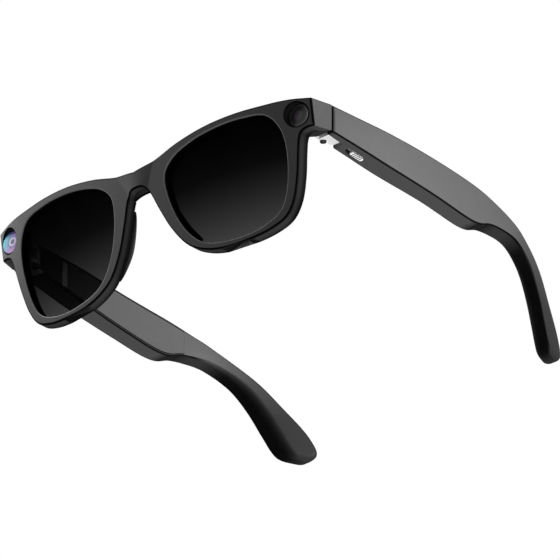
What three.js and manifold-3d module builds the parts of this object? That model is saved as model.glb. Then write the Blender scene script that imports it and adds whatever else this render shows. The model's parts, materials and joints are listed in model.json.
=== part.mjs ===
// Smart glasses: a camera front with two tinted lenses, and two folding temples that hold the electronics.
// Millimetres. +X is the wearer's left, +Y runs from the front towards the temple tips, +Z is up.
// The pieces are drawn with Z zero near the brow; the finished group stands on Z zero.
import * as THREE from 'three';
import { mergeVertices } from 'three/addons/utils/BufferGeometryUtils.js';
import Module from 'manifold-3d';

const wasm = await Module();
wasm.setup();

// ---- Driving dimensions, mm ----
const GAP = 0.3; // air between neighbouring pieces
const WALL = 1.3; // moulded wall of the temples
const LEFT = 1;
const RIGHT = -1;

// Front face: y = FACE_WRAP x^2 - FACE_RAKE z + FACE_Y, with a raised band over the bridge.
const FACE_WRAP = 0.00172;
const FACE_RAKE = 0.227;
const FACE_Y = -1.9;
const BRIDGE_RISE = 0.8;
const BRIDGE_TOP_HALF = 8.8;
const BRIDGE_ARCH_HALF = 4.6;
const BRIDGE_TOP_Z = -5.6;
const BRIDGE_ARCH_Z = -13.6;
// The end pieces sweep back a little more, most of all at the top.
const SWEEP_FROM_X = 58;
const SWEEP_SPAN = 16;
const SWEEP_TOP = 1.25;
const SWEEP_FADE = 0.06;

// Depths behind the front face.
const GROOVE_FROM = 1.75; // the lens sits behind this much of the front shell
const LENS_FROM = 1.95;
const LENS_TO = 2.9;
const COVER_FROM = 3.2; // the rear cover holds the lens from behind
const RIM_DEPTH = 4.2;
const COVER_INSET = 0.8; // wall of the front shell left around the rear cover
const COVER_END_X = 60; // the rear cover stops short of the end pieces
const PAD_EDGE = 0.4; // depth of a nose pad at its ends
const PAD_SWELL = 2.6; // and how much more in the middle
const PAD_END_TAPER = 0.9;
const REST_Z = -44; // the plane that the rims and the tips stand on

// Camera and indicator windows in the end pieces.
const WINDOW_X = 68.3;
const WINDOW_Z = -5.95;
const WINDOW_HOLE_R = 4.6;
const WINDOW_GLASS_R = 4.15;
const WINDOW_Y = 8.9; // front of the glass
const WINDOW_FLOOR_Y = 11.6;
const WINDOW_GLASS_T = 0.7;
const BEZEL_R = 4.25;
const BEZEL_HOLE_R = 2.9;
const BARREL_LENS_R = 2.5;
const LAMP_R = 1.9;

// End pieces and hinges.
const END_BACK_Y = 17.9;
const END_TOP_Z = -0.95;
const END_BOTTOM_Z = -11.3;
const HINGE_X = 68.4;
const HINGE_Y = 21.5;
const BARREL_R = 1.5;
const PIN_R = 0.7;
const PIN_CLEARANCE = 0.15;
const PIN_HEAD_R = 1.2;
const SCREW_R = 0.5;
const SCREW_HEAD_R = 1;
const SCREW_HOLE_R = 0.8;
const HINGE_TOP_Z = -2.9;
const HINGE_BOTTOM_Z = -10.2;
const KNUCKLE_H = 1.8;

// Temple box section.
const COVER_T = 1.4;
const COVER_EDGE = 0.9;
const COVER_FRONT_Y = 27.6;
const COVER_BACK_Y = 100;
const CAVITY_FRONT_Y = 28.2;
const CAVITY_BACK_Y = 98;

// Power switch, on the underside of the left temple.
const SWITCH_X = 72.2;
const SWITCH_Y = 33.4;
const SWITCH_TRAVEL = 2;
const KNOB_LENGTH = 6;
const KNOB_WIDTH = 2.2;

// Capture button, on top of the right temple.
const BUTTON_X = 72.6;
const BUTTON_Y = 36;
const BUTTON_LENGTH = 10;
const BUTTON_WIDTH = 3;
const BUTTON_PROUD = 0.6;

// Outline points as [x, z] for the wearer's left half of the front, top centre first.
const TOP_POINTS = [
  [0, -6.8], [9, -5.4], [20, -2.4], [32.5, -0.2], [45, 0.6], [57, 0.35], [66, 0], [74.1, -0.95],
];
const SIDE_POINTS = [[74, -11.2], [71.4, -11.4], [69.2, -12.4], [68.2, -14.2]];
const RIM_POINTS = [
  [67.3, -18], [65.4, -27], [62.7, -35], [59, -40], [52.4, -42.8], [42.3, -44.2], [32, -44.1], [24.4, -42.3],
  [18.3, -39], [12.4, -31.6], [8, -22.6], [4.8, -15.2], [2.6, -13], [0, -12.7],
];
const LENS_POINTS = [
  [12.7, -11.8], [16.6, -7.4], [24.5, -4.2], [35.6, -2.2], [47.4, -1.9], [57.1, -3.7], [61.9, -10.8],
  [61.9, -24.8], [57.3, -37], [48, -41.4], [35.3, -42.1], [24.4, -39.5], [17.7, -32.7], [13.1, -21.2],
];

// A nose pad's line as [x, z], and its section as [distance towards the nose, share of the depth].
const PAD_SPINE = [[6, -17.4], [9.4, -25], [12.6, -31], [18.2, -38.4]];
const PAD_SECTION = [
  [0.4, 0], [0.9, 0.3], [0.5, 0.6], [-0.9, 0.9], [-2.6, 1], [-3.6, 0.75], [-4, 0.4], [-4, 0],
];

// Temple side view: matching [y, z] points on the top edge and the bottom edge, front to tip.
const TEMPLE_TOP = [
  [18.2, -1], [32, -1.15], [47.6, -1.3], [68.7, -2.3], [90, -3.9], [97, -4.8], [105, -6.3], [113, -8],
  [121, -10.5], [134, -17], [145, -26.6], [153, -34.4], [155.9, -40.2], [153.8, -43.2], [150.6, -44.4],
];
const TEMPLE_BOTTOM = [
  [18.2, -11.3], [32, -12.9], [45.5, -14.6], [69.9, -17], [88, -18.8], [93.4, -18.2], [99, -16], [106, -14.9],
  [115.2, -15], [125.9, -19.5], [133, -26.7], [138.5, -35.1], [141.9, -40.4], [144.6, -43.3], [147.2, -44.4],
];
// Temple plan view: [y, x] of the outer face and the inner face.
const TEMPLE_OUTER = [
  [18.2, 75.9], [45, 77.4], [70, 78], [95, 77.3], [115, 74.9], [125, 72.4], [135, 69.1], [145, 65],
  [156, 60.4],
];
const TEMPLE_INNER = [
  [18.2, 68.5], [45, 69.3], [70, 70.7], [95, 70.2], [115, 68], [125, 65.4], [135, 61.9], [145, 57.8],
  [156, 53.6],
];

// Pieces and openings inside the temples, as their extents along X, Y and Z.
const BATTERY_BOX = [[72.2, 75.6], [54, 80], [-13.4, -4.6]];
const SPEAKER_BOX = [[72.8, 75.2], [83, 95], [-15, -7.2]];
const SPEAKER_MESH_BOX = [[73.7, 74.7], [84.3, 91.7], [-5, -4.6]];
const SPEAKER_OUTLET_BOX = [[73.4, 75], [84, 92], [-7, 0]];
const MICROPHONE_BOX = [[71.8, 74.4], [45, 48.5], [-4.5, -3.4]];
const MICROPHONE_PORT = [73.3, 46.5];
const POWER_BOARD_BOX = [[74, 74.8], [30.5, 52], [-8.6, -5]];
const MAIN_BOARD_BOX = [[74.3, 75.1], [30.5, 52], [-11.4, -6.4]];
const TOUCH_SENSOR_BOX = [[75.95, 76.15], [54, 78], [-13.4, -4.6]];
const CORE_HEIGHT = 3;
const CORE_HALF_T = 0.6;
const CORE_FROM_Y = 95;
const CORE_TO_Y = 140;
const SENSOR_Y = [35.8, 38.5];
const SENSOR_Z = [-12.3, -2.6];
const SENSOR_T = 0.9;

// Corner radius of the temple section: crisp along the box, soft at the tip.
const CORNER_BOX = 0.5;
const CORNER_TIP_INNER = 3.1;
const CORNER_TIP_OUTER = 0.8;
const CORNER_FROM_Y = 106;
const CORNER_TO_Y = 136;

// ---- Materials ----
function finish(color, roughness, metalness) {
  return new THREE.MeshStandardMaterial({ color, roughness, metalness });
}

const matteBlack = finish(0x2b2b2c, 0.6, 0);
const softBlack = finish(0x1a1a1b, 0.8, 0);
const tintedLens = finish(0x08080a, 0.08, 0);
const windowGlass = finish(0x1c1b20, 0.1, 0);
const cameraGlass = finish(0x7f7fd0, 0.1, 0.3);
const blackMetal = finish(0x1b1b1d, 0.4, 0.8);
const steel = finish(0xd6d7d9, 0.25, 1);
const switchPlastic = finish(0xe9e9ea, 0.4, 0);
const boardGreen = finish(0x164a2c, 0.5, 0);
const flexAmber = finish(0x8a5a1c, 0.5, 0);
const batteryFoil = finish(0xb9bcc2, 0.35, 0.8);
const meshGrey = finish(0x3a3b3d, 0.5, 0.7);
const sensorGrey = finish(0x8a8a8c, 0.3, 0);

// ---- Solids ----
function toSolid(geometry) {
  const bare = new THREE.BufferGeometry();
  bare.setAttribute('position', geometry.getAttribute('position'));
  bare.setIndex(geometry.index);
  const merged = mergeVertices(bare, 1e-4);
  const mesh = new wasm.Mesh({
    numProp: 3,
    vertProperties: new Float32Array(merged.getAttribute('position').array),
    triVerts: new Uint32Array(merged.index.array),
  });
  return new wasm.Manifold(mesh);
}

function toGeometry(solid, side) {
  const mesh = solid.getMesh();
  const positions = new Float32Array(mesh.vertProperties);
  const triangles = new Uint32Array(mesh.triVerts);
  if (side === RIGHT) {
    for (let i = 0; i < positions.length; i += 3) positions[i] = -positions[i];
    triangles.reverse();
  }
  const geometry = new THREE.BufferGeometry();
  geometry.setAttribute('position', new THREE.BufferAttribute(positions, 3));
  geometry.setIndex(new THREE.BufferAttribute(triangles, 1));
  geometry.computeVertexNormals();
  return geometry;
}

const union = (...solids) => solids.reduce((all, solid) => all.add(solid));
const cut = (solid, ...tools) => tools.reduce((rest, tool) => rest.subtract(tool), solid);

function box([x0, x1], [y0, y1], [z0, z1]) {
  const geometry = new THREE.BoxGeometry(x1 - x0, y1 - y0, z1 - z0);
  geometry.translate((x0 + x1) / 2, (y0 + y1) / 2, (z0 + z1) / 2);
  return toSolid(geometry);
}

function cylinder(axis, radius, from, to, [u, v], sides = 24) {
  const geometry = new THREE.CylinderGeometry(radius, radius, to - from, sides);
  const middle = (from + to) / 2;
  if (axis === 'y') geometry.translate(u, middle, v);
  if (axis === 'z') {
    geometry.rotateX(Math.PI / 2);
    geometry.translate(u, v, middle);
  }
  if (axis === 'x') {
    geometry.rotateZ(Math.PI / 2);
    geometry.translate(middle, u, v);
  }
  return toSolid(geometry);
}

function shapeOf(points) {
  return new THREE.Shape(points.map(([x, y]) => new THREE.Vector2(x, y)));
}

// A closed outline of [x, z] points, extruded along Y.
function prismY(points, y0, y1) {
  const geometry = new THREE.ExtrudeGeometry(shapeOf(points), { depth: y1 - y0, bevelEnabled: false });
  geometry.rotateX(Math.PI / 2);
  geometry.translate(0, y1, 0);
  return toSolid(indexed(geometry));
}

// A closed outline of [x, y] points, extruded along Z.
function prismZ(points, z0, z1) {
  const geometry = new THREE.ExtrudeGeometry(shapeOf(points), { depth: z1 - z0, bevelEnabled: false });
  geometry.translate(0, 0, z0);
  return toSolid(indexed(geometry));
}

function indexed(geometry) {
  geometry.deleteAttribute('normal');
  geometry.deleteAttribute('uv');
  return mergeVertices(geometry, 1e-4);
}

// A bar with half-round ends, length along Y, width along X, height along Z.
function capsule(length, width, [z0, z1]) {
  const radius = width / 2;
  const straight = length / 2 - radius;
  const shape = new THREE.Shape();
  shape.absarc(0, straight, radius, 0, Math.PI, false);
  shape.absarc(0, -straight, radius, Math.PI, 2 * Math.PI, false);
  const options = { depth: z1 - z0, bevelEnabled: false, curveSegments: 10 };
  const geometry = new THREE.ExtrudeGeometry(shape, options);
  geometry.translate(0, 0, z0);
  return toSolid(indexed(geometry));
}

// ---- Curves ----
function smooth(points, count, closed) {
  const places = points.map(([a, b]) => new THREE.Vector3(a, b, 0));
  const curve = new THREE.CatmullRomCurve3(places, closed, 'centripetal');
  return curve.getPoints(count).map((point) => [point.x, point.y]);
}

const smoothOpen = (points, count) => smooth(points, count, false);
const smoothClosed = (points, count) => smooth(points, count, true).slice(0, count);

// A closed loop moved sideways by a distance, outwards when positive.
function offsetLoop(loop, distance) {
  const area = loop.reduce((sum, [x, z], i) => {
    const [nextX, nextZ] = loop[(i + 1) % loop.length];
    return sum + x * nextZ - nextX * z;
  }, 0);
  const sign = Math.sign(area);
  return loop.map(([x, z], i) => {
    const before = loop[(i + loop.length - 1) % loop.length];
    const after = loop[(i + 1) % loop.length];
    const dx = after[0] - before[0];
    const dz = after[1] - before[1];
    const length = Math.hypot(dx, dz);
    return [x + (sign * distance * dz) / length, z - (sign * distance * dx) / length];
  });
}

// A smooth function through [input, output] points.
function smoothFunction(table) {
  const slope = (i) => {
    const a = table[Math.max(i - 1, 0)];
    const b = table[Math.min(i + 1, table.length - 1)];
    return (b[1] - a[1]) / (b[0] - a[0]);
  };
  return (input) => {
    const last = table.length - 2;
    const found = table.findIndex((point) => point[0] > input) - 1;
    const i = input >= table[last + 1][0] ? last : Math.max(found, 0);
    const [x0, y0] = table[i];
    const [x1, y1] = table[i + 1];
    const span = x1 - x0;
    const t = THREE.MathUtils.clamp((input - x0) / span, 0, 1);
    const rise = (y1 - y0) * (3 * t * t - 2 * t * t * t);
    return y0 + rise + span * (slope(i) * (t - 2 * t * t + t ** 3) + slope(i + 1) * (t ** 3 - t * t));
  };
}

const outerX = smoothFunction(TEMPLE_OUTER);
const innerX = smoothFunction(TEMPLE_INNER);

// ---- Front ----
function faceY(x, z) {
  const down = THREE.MathUtils.clamp((BRIDGE_TOP_Z - z) / (BRIDGE_TOP_Z - BRIDGE_ARCH_Z), 0, 1);
  const half = THREE.MathUtils.lerp(BRIDGE_TOP_HALF, BRIDGE_ARCH_HALF, down);
  const rise = BRIDGE_RISE * Math.max(0, 1 - (x / half) ** 2);
  const outward = Math.max(0, (Math.abs(x) - SWEEP_FROM_X) / SWEEP_SPAN) ** 2;
  const sweep = outward * Math.max(0, SWEEP_TOP + SWEEP_FADE * z);
  return FACE_WRAP * x * x - FACE_RAKE * z + FACE_Y - rise + sweep;
}

// Everything between two depths behind the curved front face.
function faceLayer(from, to) {
  const width = 168;
  const geometry = new THREE.BoxGeometry(width, 1, 56, 36, 1, 6);
  geometry.translate(0, 0.5, -22);
  const position = geometry.getAttribute('position');
  for (let i = 0; i < position.count; i += 1) {
    const depth = from + (to - from) * position.getY(i);
    position.setY(i, faceY(position.getX(i), position.getZ(i)) + depth);
  }
  return toSolid(geometry);
}

function halfOutline() {
  return [...smoothOpen(TOP_POINTS, 20), ...smoothOpen([...SIDE_POINTS, ...RIM_POINTS], 46)];
}

function mirrored(half) {
  const otherHalf = half.slice(1, -1).reverse().map(([x, z]) => [-x, z]);
  return [...half, ...otherHalf];
}

const lensLoop = smoothClosed(LENS_POINTS, 44);
const mirrorLoop = (loop) => loop.map(([x, z]) => [-x, z]).reverse();
const prismThrough = (loop) => prismY(loop, -20, 40);
const bothSides = (loop) => union(prismThrough(loop), prismThrough(mirrorLoop(loop)));
const outlinePrism = prismThrough(mirrored(halfOutline()));
const restCut = box([-90, 90], [-20, 170], [REST_Z - 5, REST_Z]);

// A narrow strip that follows the brow, for the ribbon cable and its channel.
const BROW_POINTS = [
  [0, -9.7], [8, -8.6], [12, -6.6], [20, -3.6], [32.5, -1.1], [47, -0.5], [57, -1], [62.5, -2.6],
];

function browStrip(halfWidth) {
  const half = smoothOpen(BROW_POINTS, 24);
  const line = [...half.slice(1).reverse().map(([x, z]) => [-x, z]), ...half];
  const side = (sign) => line.map(([x, z], i) => {
    const before = line[Math.max(i - 1, 0)];
    const after = line[Math.min(i + 1, line.length - 1)];
    const length = Math.hypot(after[0] - before[0], after[1] - before[1]);
    const normalX = -(after[1] - before[1]) / length;
    const normalZ = (after[0] - before[0]) / length;
    return [x + sign * halfWidth * normalX, z + sign * halfWidth * normalZ];
  });
  return prismThrough([...side(1), ...side(-1).reverse()]);
}

function makeEndBlock() {
  const profile = [
    [60, 0.1], [66, 0], [70, -0.45], [74.1, END_TOP_Z], [78, END_TOP_Z], [78, END_BOTTOM_Z],
    [60, END_BOTTOM_Z],
  ];
  const plan = [[74.1, 8], [75.9, END_BACK_Y], [67.9, END_BACK_Y], [61.5, 12.5], [60, 8]];
  return prismY(profile, 0, 30).intersect(prismZ(plan, -20, 5));
}

// Room inside an end piece: the module bore, the board behind it and the slot of the hinge leaf.
function endPocket() {
  return union(
    cylinder('y', WINDOW_HOLE_R, 0, WINDOW_FLOOR_Y, [WINDOW_X, WINDOW_Z], 36),
    cylinder('y', 3.6, 11, 14.6, [WINDOW_X + 0.4, WINDOW_Z], 24),
    box([67.2, 73.6], [13.6, 15.4], [-10, -2.6]),
  );
}

function leafSlot() {
  return box([66, 70.2], [15.9, 19], [-10.8, -2.4]);
}

// The lens openings: clear in front, a groove for the lens, and a smaller opening through the rear cover.
const lensOpening = bothSides(lensLoop).intersect(faceLayer(-2, LENS_TO));
const lensGroove = bothSides(offsetLoop(lensLoop, 0.9)).intersect(faceLayer(GROOVE_FROM, COVER_FROM));
const rearOpening = bothSides(offsetLoop(lensLoop, -0.3));

// The rear cover's outline: the front's, moved in, without the end pieces. Grow leaves room around it.
function coverSolid(grow) {
  const rimsOnly = halfOutline().filter(([x, z]) => x < COVER_END_X + 4 || z < END_BOTTOM_Z - 3);
  const inset = prismThrough(offsetLoop(mirrored(rimsOnly), grow - COVER_INSET - GAP));
  const depth = faceLayer(COVER_FROM - grow, RIM_DEPTH + 10 * grow);
  const reach = COVER_END_X + grow;
  const besideBlock = box([-reach, reach], [-20, 60], [-60, 10]);
  const belowBlock = box([-90, 90], [-20, 60], [-60, END_BOTTOM_Z - 3 + grow]);
  return inset.intersect(depth).intersect(union(besideBlock, belowBlock));
}

function makeFrontShell() {
  const pair = (solid) => union(mirrorSolid(solid, LEFT), mirrorSolid(solid, RIGHT));
  const rim = outlinePrism.intersect(faceLayer(0, RIM_DEPTH));
  const blocks = pair(makeEndBlock()).intersect(faceLayer(1, 40));
  const channel = browStrip(0.55).intersect(faceLayer(0.95, LENS_FROM));
  const openings = [lensOpening, lensGroove, rearOpening.intersect(faceLayer(LENS_FROM, 40))];
  const rooms = [coverSolid(GAP), channel, pair(endPocket()), pair(leafSlot())];
  return cut(union(rim, blocks), ...openings, ...rooms, restCut);
}

const makeRearCover = () => cut(coverSolid(0), rearOpening, restCut);

function mirrorSolid(solid, side) {
  return side === LEFT ? solid : toSolid(toGeometry(solid, RIGHT));
}

function makeLens() {
  return prismThrough(offsetLoop(lensLoop, 0.55)).intersect(faceLayer(LENS_FROM, LENS_TO));
}

// A nose pad: rings across the pad, from its top end to its bottom end, behind the nose side of the rim.
function makeNosePad() {
  const spine = smoothOpen(PAD_SPINE, 14);
  const rings = spine.map(([x, z], i) => {
    const before = spine[Math.max(i - 1, 0)];
    const after = spine[Math.min(i + 1, spine.length - 1)];
    const length = Math.hypot(after[0] - before[0], after[1] - before[1]);
    const normalX = (after[1] - before[1]) / length;
    const normalZ = -(after[0] - before[0]) / length;
    const share = i / (spine.length - 1);
    const depth = PAD_EDGE + PAD_SWELL * Math.sin(Math.PI * share);
    const overhang = 1 - PAD_END_TAPER * (2 * share - 1) ** 8;
    return PAD_SECTION.map(([across, back]) => {
      const reach = across > 0 ? across * overhang : across;
      const px = x + reach * normalX;
      const pz = z + reach * normalZ;
      return new THREE.Vector3(px, faceY(px, pz) + RIM_DEPTH + GAP + back * depth, pz);
    });
  });
  return loft(rings);
}

// Round parts on the axis of an end piece's window, from the front to the back.
function windowDisc(radius, from, to, sides = 32) {
  return cylinder('y', radius, WINDOW_Y + from, WINDOW_Y + to, [WINDOW_X, WINDOW_Z], sides);
}

const makeWindowGlass = () => windowDisc(WINDOW_GLASS_R, 0, WINDOW_GLASS_T);
const makeWindowBezel = () => cut(windowDisc(BEZEL_R, 1, 2), windowDisc(BEZEL_HOLE_R, -1, 5));
const makeCameraBarrel = () => windowDisc(BARREL_LENS_R, 1.2, 4.2, 24);
const makeIndicatorLamp = () => windowDisc(LAMP_R, 1.2, 3.4, 24);
const makeWindowBoard = () => box([67.5, 73.3], [13.9, 14.9], [-9.7, -2.9]);

// ---- Hinge ----
const hingeBarrel = (z0, z1) => cylinder('z', BARREL_R, z0, z1, [HINGE_X, HINGE_Y], 20);
const pinHole = () => cylinder('z', PIN_R + PIN_CLEARANCE, -20, 5, [HINGE_X, HINGE_Y], 20);
const LOW_KNUCKLE = [HINGE_BOTTOM_Z, HINGE_BOTTOM_Z + KNUCKLE_H];
const HIGH_KNUCKLE = [HINGE_TOP_Z - KNUCKLE_H, HINGE_TOP_Z];
const MIDDLE_KNUCKLE = [LOW_KNUCKLE[1] + GAP, HIGH_KNUCKLE[0] - GAP];
const FOOT_NOTCH = [68.4, 25.3];
const LEAF_SCREWS = [[24.6, -4.6], [24.6, -8.2]];

function makeFrontLeaf() {
  const plate = box([66.4, 69.9], [16.2, 17.6], [HINGE_BOTTOM_Z, HINGE_TOP_Z]);
  const arms = [LOW_KNUCKLE, HIGH_KNUCKLE].map((height) => (
    union(box([67.1, 69.6], [17, HINGE_Y], height), hingeBarrel(...height))
  ));
  return cut(union(plate, ...arms), pinHole());
}

function makeTempleLeaf() {
  const plate = box([71.2, 72.9], [19, 25.8], [HINGE_BOTTOM_Z - 1.1, HINGE_TOP_Z - 0.1]);
  const arm = union(box([HINGE_X, 71.4], [20.3, 22.7], MIDDLE_KNUCKLE), hingeBarrel(...MIDDLE_KNUCKLE));
  const foot = cut(
    box([68.6, 72.9], [19, 25.8], [HINGE_BOTTOM_Z - 1.1, HINGE_BOTTOM_Z - 0.4]),
    cylinder('z', 1.6, -20, -5, [HINGE_X, HINGE_Y], 20),
    cylinder('z', 0.9, -20, HINGE_BOTTOM_Z, FOOT_NOTCH, 16),
  );
  const holes = LEAF_SCREWS.map((place) => cylinder('x', SCREW_HOLE_R, 60, 80, place, 16));
  return cut(union(plate, arm, foot), pinHole(), ...holes);
}

function makeHingePin() {
  const shank = cylinder('z', PIN_R, -10.6, -3.1, [HINGE_X, HINGE_Y], 20);
  const head = cylinder('z', PIN_HEAD_R, -11.6, -10.5, [HINGE_X, HINGE_Y], 20);
  return union(shank, head);
}

function makeLeafScrew(place) {
  const shank = cylinder('x', SCREW_R, 70.6, 74.9, place, 12);
  const head = cylinder('x', SCREW_HEAD_R, 70.2, 70.9, place, 16);
  return union(shank, head);
}

// ---- Temples ----
// A closed skin over rings of equal length, with flat ends, facing out whichever way the rings turn.
function loft(rings) {
  const count = rings[0].length;
  const positions = rings.flat().flatMap((point) => [point.x, point.y, point.z]);
  const triangles = [];
  for (let r = 0; r < rings.length - 1; r += 1) {
    for (let k = 0; k < count; k += 1) {
      const a = r * count + k;
      const b = r * count + ((k + 1) % count);
      triangles.push(a, a + count, b, b, a + count, b + count);
    }
  }
  const last = (rings.length - 1) * count;
  for (let k = 1; k < count - 1; k += 1) {
    triangles.push(0, k, k + 1);
    triangles.push(last, last + k + 1, last + k);
  }
  const corner = (i) => new THREE.Vector3().fromArray(positions, 3 * i);
  let volume = 0;
  for (let i = 0; i < triangles.length; i += 3) {
    volume += corner(triangles[i]).dot(corner(triangles[i + 1]).cross(corner(triangles[i + 2])));
  }
  if (volume < 0) triangles.reverse();
  const geometry = new THREE.BufferGeometry();
  geometry.setAttribute('position', new THREE.BufferAttribute(new Float32Array(positions), 3));
  geometry.setIndex(triangles);
  return toSolid(geometry);
}

// A solid along the temple: its edges move in by inset, or it keeps one height, between two faces x = f(y).
function templeLoft({ inset = 0, height = 0, inner = innerX, outer = outerX, radius = cornerRadius }) {
  const steps = 30;
  const top = smoothOpen(TEMPLE_TOP, steps);
  const bottom = smoothOpen(TEMPLE_BOTTOM, steps);
  const rings = top.map(([topY, topZ], i) => {
    const [bottomY, bottomZ] = bottom[i];
    const full = Math.hypot(topY - bottomY, topZ - bottomZ);
    const upY = (topY - bottomY) / full;
    const upZ = (topZ - bottomZ) / full;
    const half = Math.max(height > 0 ? height / 2 : full / 2 - inset, 0.2);
    const ring = [];
    [[1, -1], [1, 1], [-1, 1], [-1, -1]].forEach(([side, end], quarter) => {
      const corner = Math.min(radius((topY + bottomY) / 2, side), half - 0.05);
      for (let step = 0; step <= 2; step += 1) {
        const angle = ((quarter % 2 === 0 ? step : 2 - step) * Math.PI) / 4;
        const up = end * (half - corner + corner * Math.cos(angle));
        const y = (topY + bottomY) / 2 + up * upY;
        const z = (topZ + bottomZ) / 2 + up * upZ;
        const face = side > 0 ? outer(y) : inner(y);
        ring.push(new THREE.Vector3(face - side * corner * (1 - Math.sin(angle)), y, z));
      }
    });
    return ring;
  });
  return loft(rings);
}

// Rounding of a temple's edges: small in front, and growing to the tip, most of all on the wearer's side.
function cornerRadius(y, side) {
  const tip = side > 0 ? CORNER_TIP_OUTER : CORNER_TIP_INNER;
  return THREE.MathUtils.mapLinear(THREE.MathUtils.clamp(y, CORNER_FROM_Y, CORNER_TO_Y),
    CORNER_FROM_Y, CORNER_TO_Y, CORNER_BOX, tip);
}

const alongY = (from, to) => box([50, 90], [from, to], [-60, 10]);
const middleX = (y) => (innerX(y) + outerX(y)) / 2;
const underside = smoothFunction(TEMPLE_BOTTOM.slice(0, 4));
const [undersideFrom, , undersideTo] = TEMPLE_BOTTOM;
const undersideTilt = Math.atan2(undersideTo[1] - undersideFrom[1], undersideTo[0] - undersideFrom[0]);

function makeTempleCore(grow = 0) {
  const strip = templeLoft({
    height: CORE_HEIGHT + 2 * grow,
    inner: (y) => middleX(y) - CORE_HALF_T - grow,
    outer: (y) => middleX(y) + CORE_HALF_T + grow,
    radius: () => 0.3,
  });
  return strip.intersect(alongY(CORE_FROM_Y - 3 * grow, CORE_TO_Y + grow));
}

function makeTempleCover(grow = 0) {
  const slab = templeLoft({
    inset: COVER_EDGE - grow,
    inner: (y) => innerX(y) - (grow > 0 ? 2 : 0),
    outer: (y) => innerX(y) + COVER_T + grow,
    radius: () => 0.3,
  });
  return slab.intersect(alongY(COVER_FRONT_Y - grow, COVER_BACK_Y + grow));
}

function makeTempleShell(...extraCuts) {
  const body = templeLoft({});
  const cavity = templeLoft({
    inset: WALL,
    inner: (y) => innerX(y) - 2,
    outer: (y) => outerX(y) - WALL,
    radius: () => 0.4,
  }).intersect(alongY(CAVITY_FRONT_Y, CAVITY_BACK_Y));
  const hingeRecess = box([55, 73.2], [17, 26.2], [-20, HINGE_TOP_Z + 0.3]);
  const screwHoles = LEAF_SCREWS.map((place) => cylinder('x', SCREW_HOLE_R, 72, 75.2, place, 16));
  const outlet = box(...SPEAKER_OUTLET_BOX);
  const micPort = cylinder('z', 0.5, -6, 0, MICROPHONE_PORT, 12);
  const rooms = [cavity, makeTempleCover(GAP), makeTempleCore(GAP), hingeRecess];
  return cut(body, ...rooms, ...screwHoles, outlet, micPort, restCut, ...extraCuts);
}

// The pale strip in the inner face of the right temple, and its window through the cover.
function makeSensorWindow(grow = 0) {
  const grown = ([from, to]) => [from - grow, to + grow];
  const middle = (SENSOR_Y[0] + SENSOR_Y[1]) / 2;
  const strip = box([60, innerX(middle) + SENSOR_T + grow], grown(SENSOR_Y), grown(SENSOR_Z));
  return grow > 0 ? strip : strip.intersect(templeLoft({}));
}

// ---- Power switch: drawn along the underside, centred on its slot, then laid on the tilted underside. ----
function onUnderside(solid) {
  const geometry = toGeometry(solid, LEFT);
  geometry.rotateX(undersideTilt);
  geometry.translate(SWITCH_X, SWITCH_Y, underside(SWITCH_Y));
  return toSolid(geometry);
}

const SLOT_LENGTH = KNOB_LENGTH + SWITCH_TRAVEL + 0.6;
const makeSwitchSlot = () => onUnderside(capsule(SLOT_LENGTH, KNOB_WIDTH + 0.6, [-2, 3]));

function makeSwitchKnob() {
  const rest = SWITCH_TRAVEL / 2;
  const grooves = [-1.5, -0.5, 0.5, 1.5].map(ribGroove);
  const cap = cut(capsule(KNOB_LENGTH, KNOB_WIDTH, [-0.35, 2]), ...grooves);
  const flange = box([-1.7, 1.7], [-3.6, 3.6], [1.7, 2.2]);
  const knob = toGeometry(union(cap, flange), LEFT);
  knob.translate(0, rest, 0);
  return onUnderside(toSolid(knob));
}

function ribGroove(place) {
  return box([-2, 2], [place - 0.18, place + 0.18], [-1, -0.1]);
}

const makeSwitchBody = () => onUnderside(box([-1.7, 1.9], [-4, 4], [2.6, 4.2]));

// ---- Capture button ----
function makeCaptureButton() {
  const cap = capsule(BUTTON_LENGTH, BUTTON_WIDTH, [-2, BUTTON_PROUD]);
  const flange = box([-1.8, 1.8], [-5.6, 5.6], [-2, -1.6]);
  return atButton(union(cap, flange));
}

function atButton(solid) {
  const geometry = toGeometry(solid, LEFT);
  geometry.translate(BUTTON_X, BUTTON_Y, TEMPLE_TOP[1][1]);
  return toSolid(geometry);
}

const makeButtonSlot = () => atButton(capsule(BUTTON_LENGTH + 0.7, BUTTON_WIDTH + 0.7, [-3, 3]));
const makeButtonSwitch = () => atButton(box([-1.6, 1.4], [-1.6, 1.6], [-4.4, -2.7]));

// ---- Assembly ----
const model = new THREE.Group();

function addPiece(name, solid, material, side = LEFT) {
  const mesh = new THREE.Mesh(toGeometry(solid, side), material);
  mesh.name = name;
  model.add(mesh);
}

function addPair(name, solid, material) {
  addPiece(`${name}_left`, solid, material, LEFT);
  addPiece(`${name}_right`, solid, material, RIGHT);
}

addPiece('front_shell', makeFrontShell(), matteBlack);
addPiece('rear_cover', makeRearCover(), matteBlack);
addPair('lens', makeLens(), tintedLens);
addPair('nose_pad', makeNosePad(), softBlack);
addPiece('brow_ribbon', browStrip(0.28).intersect(faceLayer(1.25, 1.45)), flexAmber);

addPiece('indicator_window', makeWindowGlass(), windowGlass, LEFT);
addPiece('indicator_bezel', makeWindowBezel(), blackMetal, LEFT);
addPiece('indicator_lamp', makeIndicatorLamp(), switchPlastic, LEFT);
addPiece('indicator_board', makeWindowBoard(), boardGreen, LEFT);
addPiece('camera_window', makeWindowGlass(), cameraGlass, RIGHT);
addPiece('camera_bezel', makeWindowBezel(), blackMetal, RIGHT);
addPiece('camera_barrel', makeCameraBarrel(), blackMetal, RIGHT);
addPiece('camera_board', makeWindowBoard(), boardGreen, RIGHT);

addPair('hinge_front_leaf', makeFrontLeaf(), steel);
addPair('hinge_temple_leaf', makeTempleLeaf(), steel);
addPair('hinge_pin', makeHingePin(), blackMetal);
LEAF_SCREWS.forEach((place, i) => addPair(`leaf_screw_${i + 1}`, makeLeafScrew(place), steel));

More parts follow.
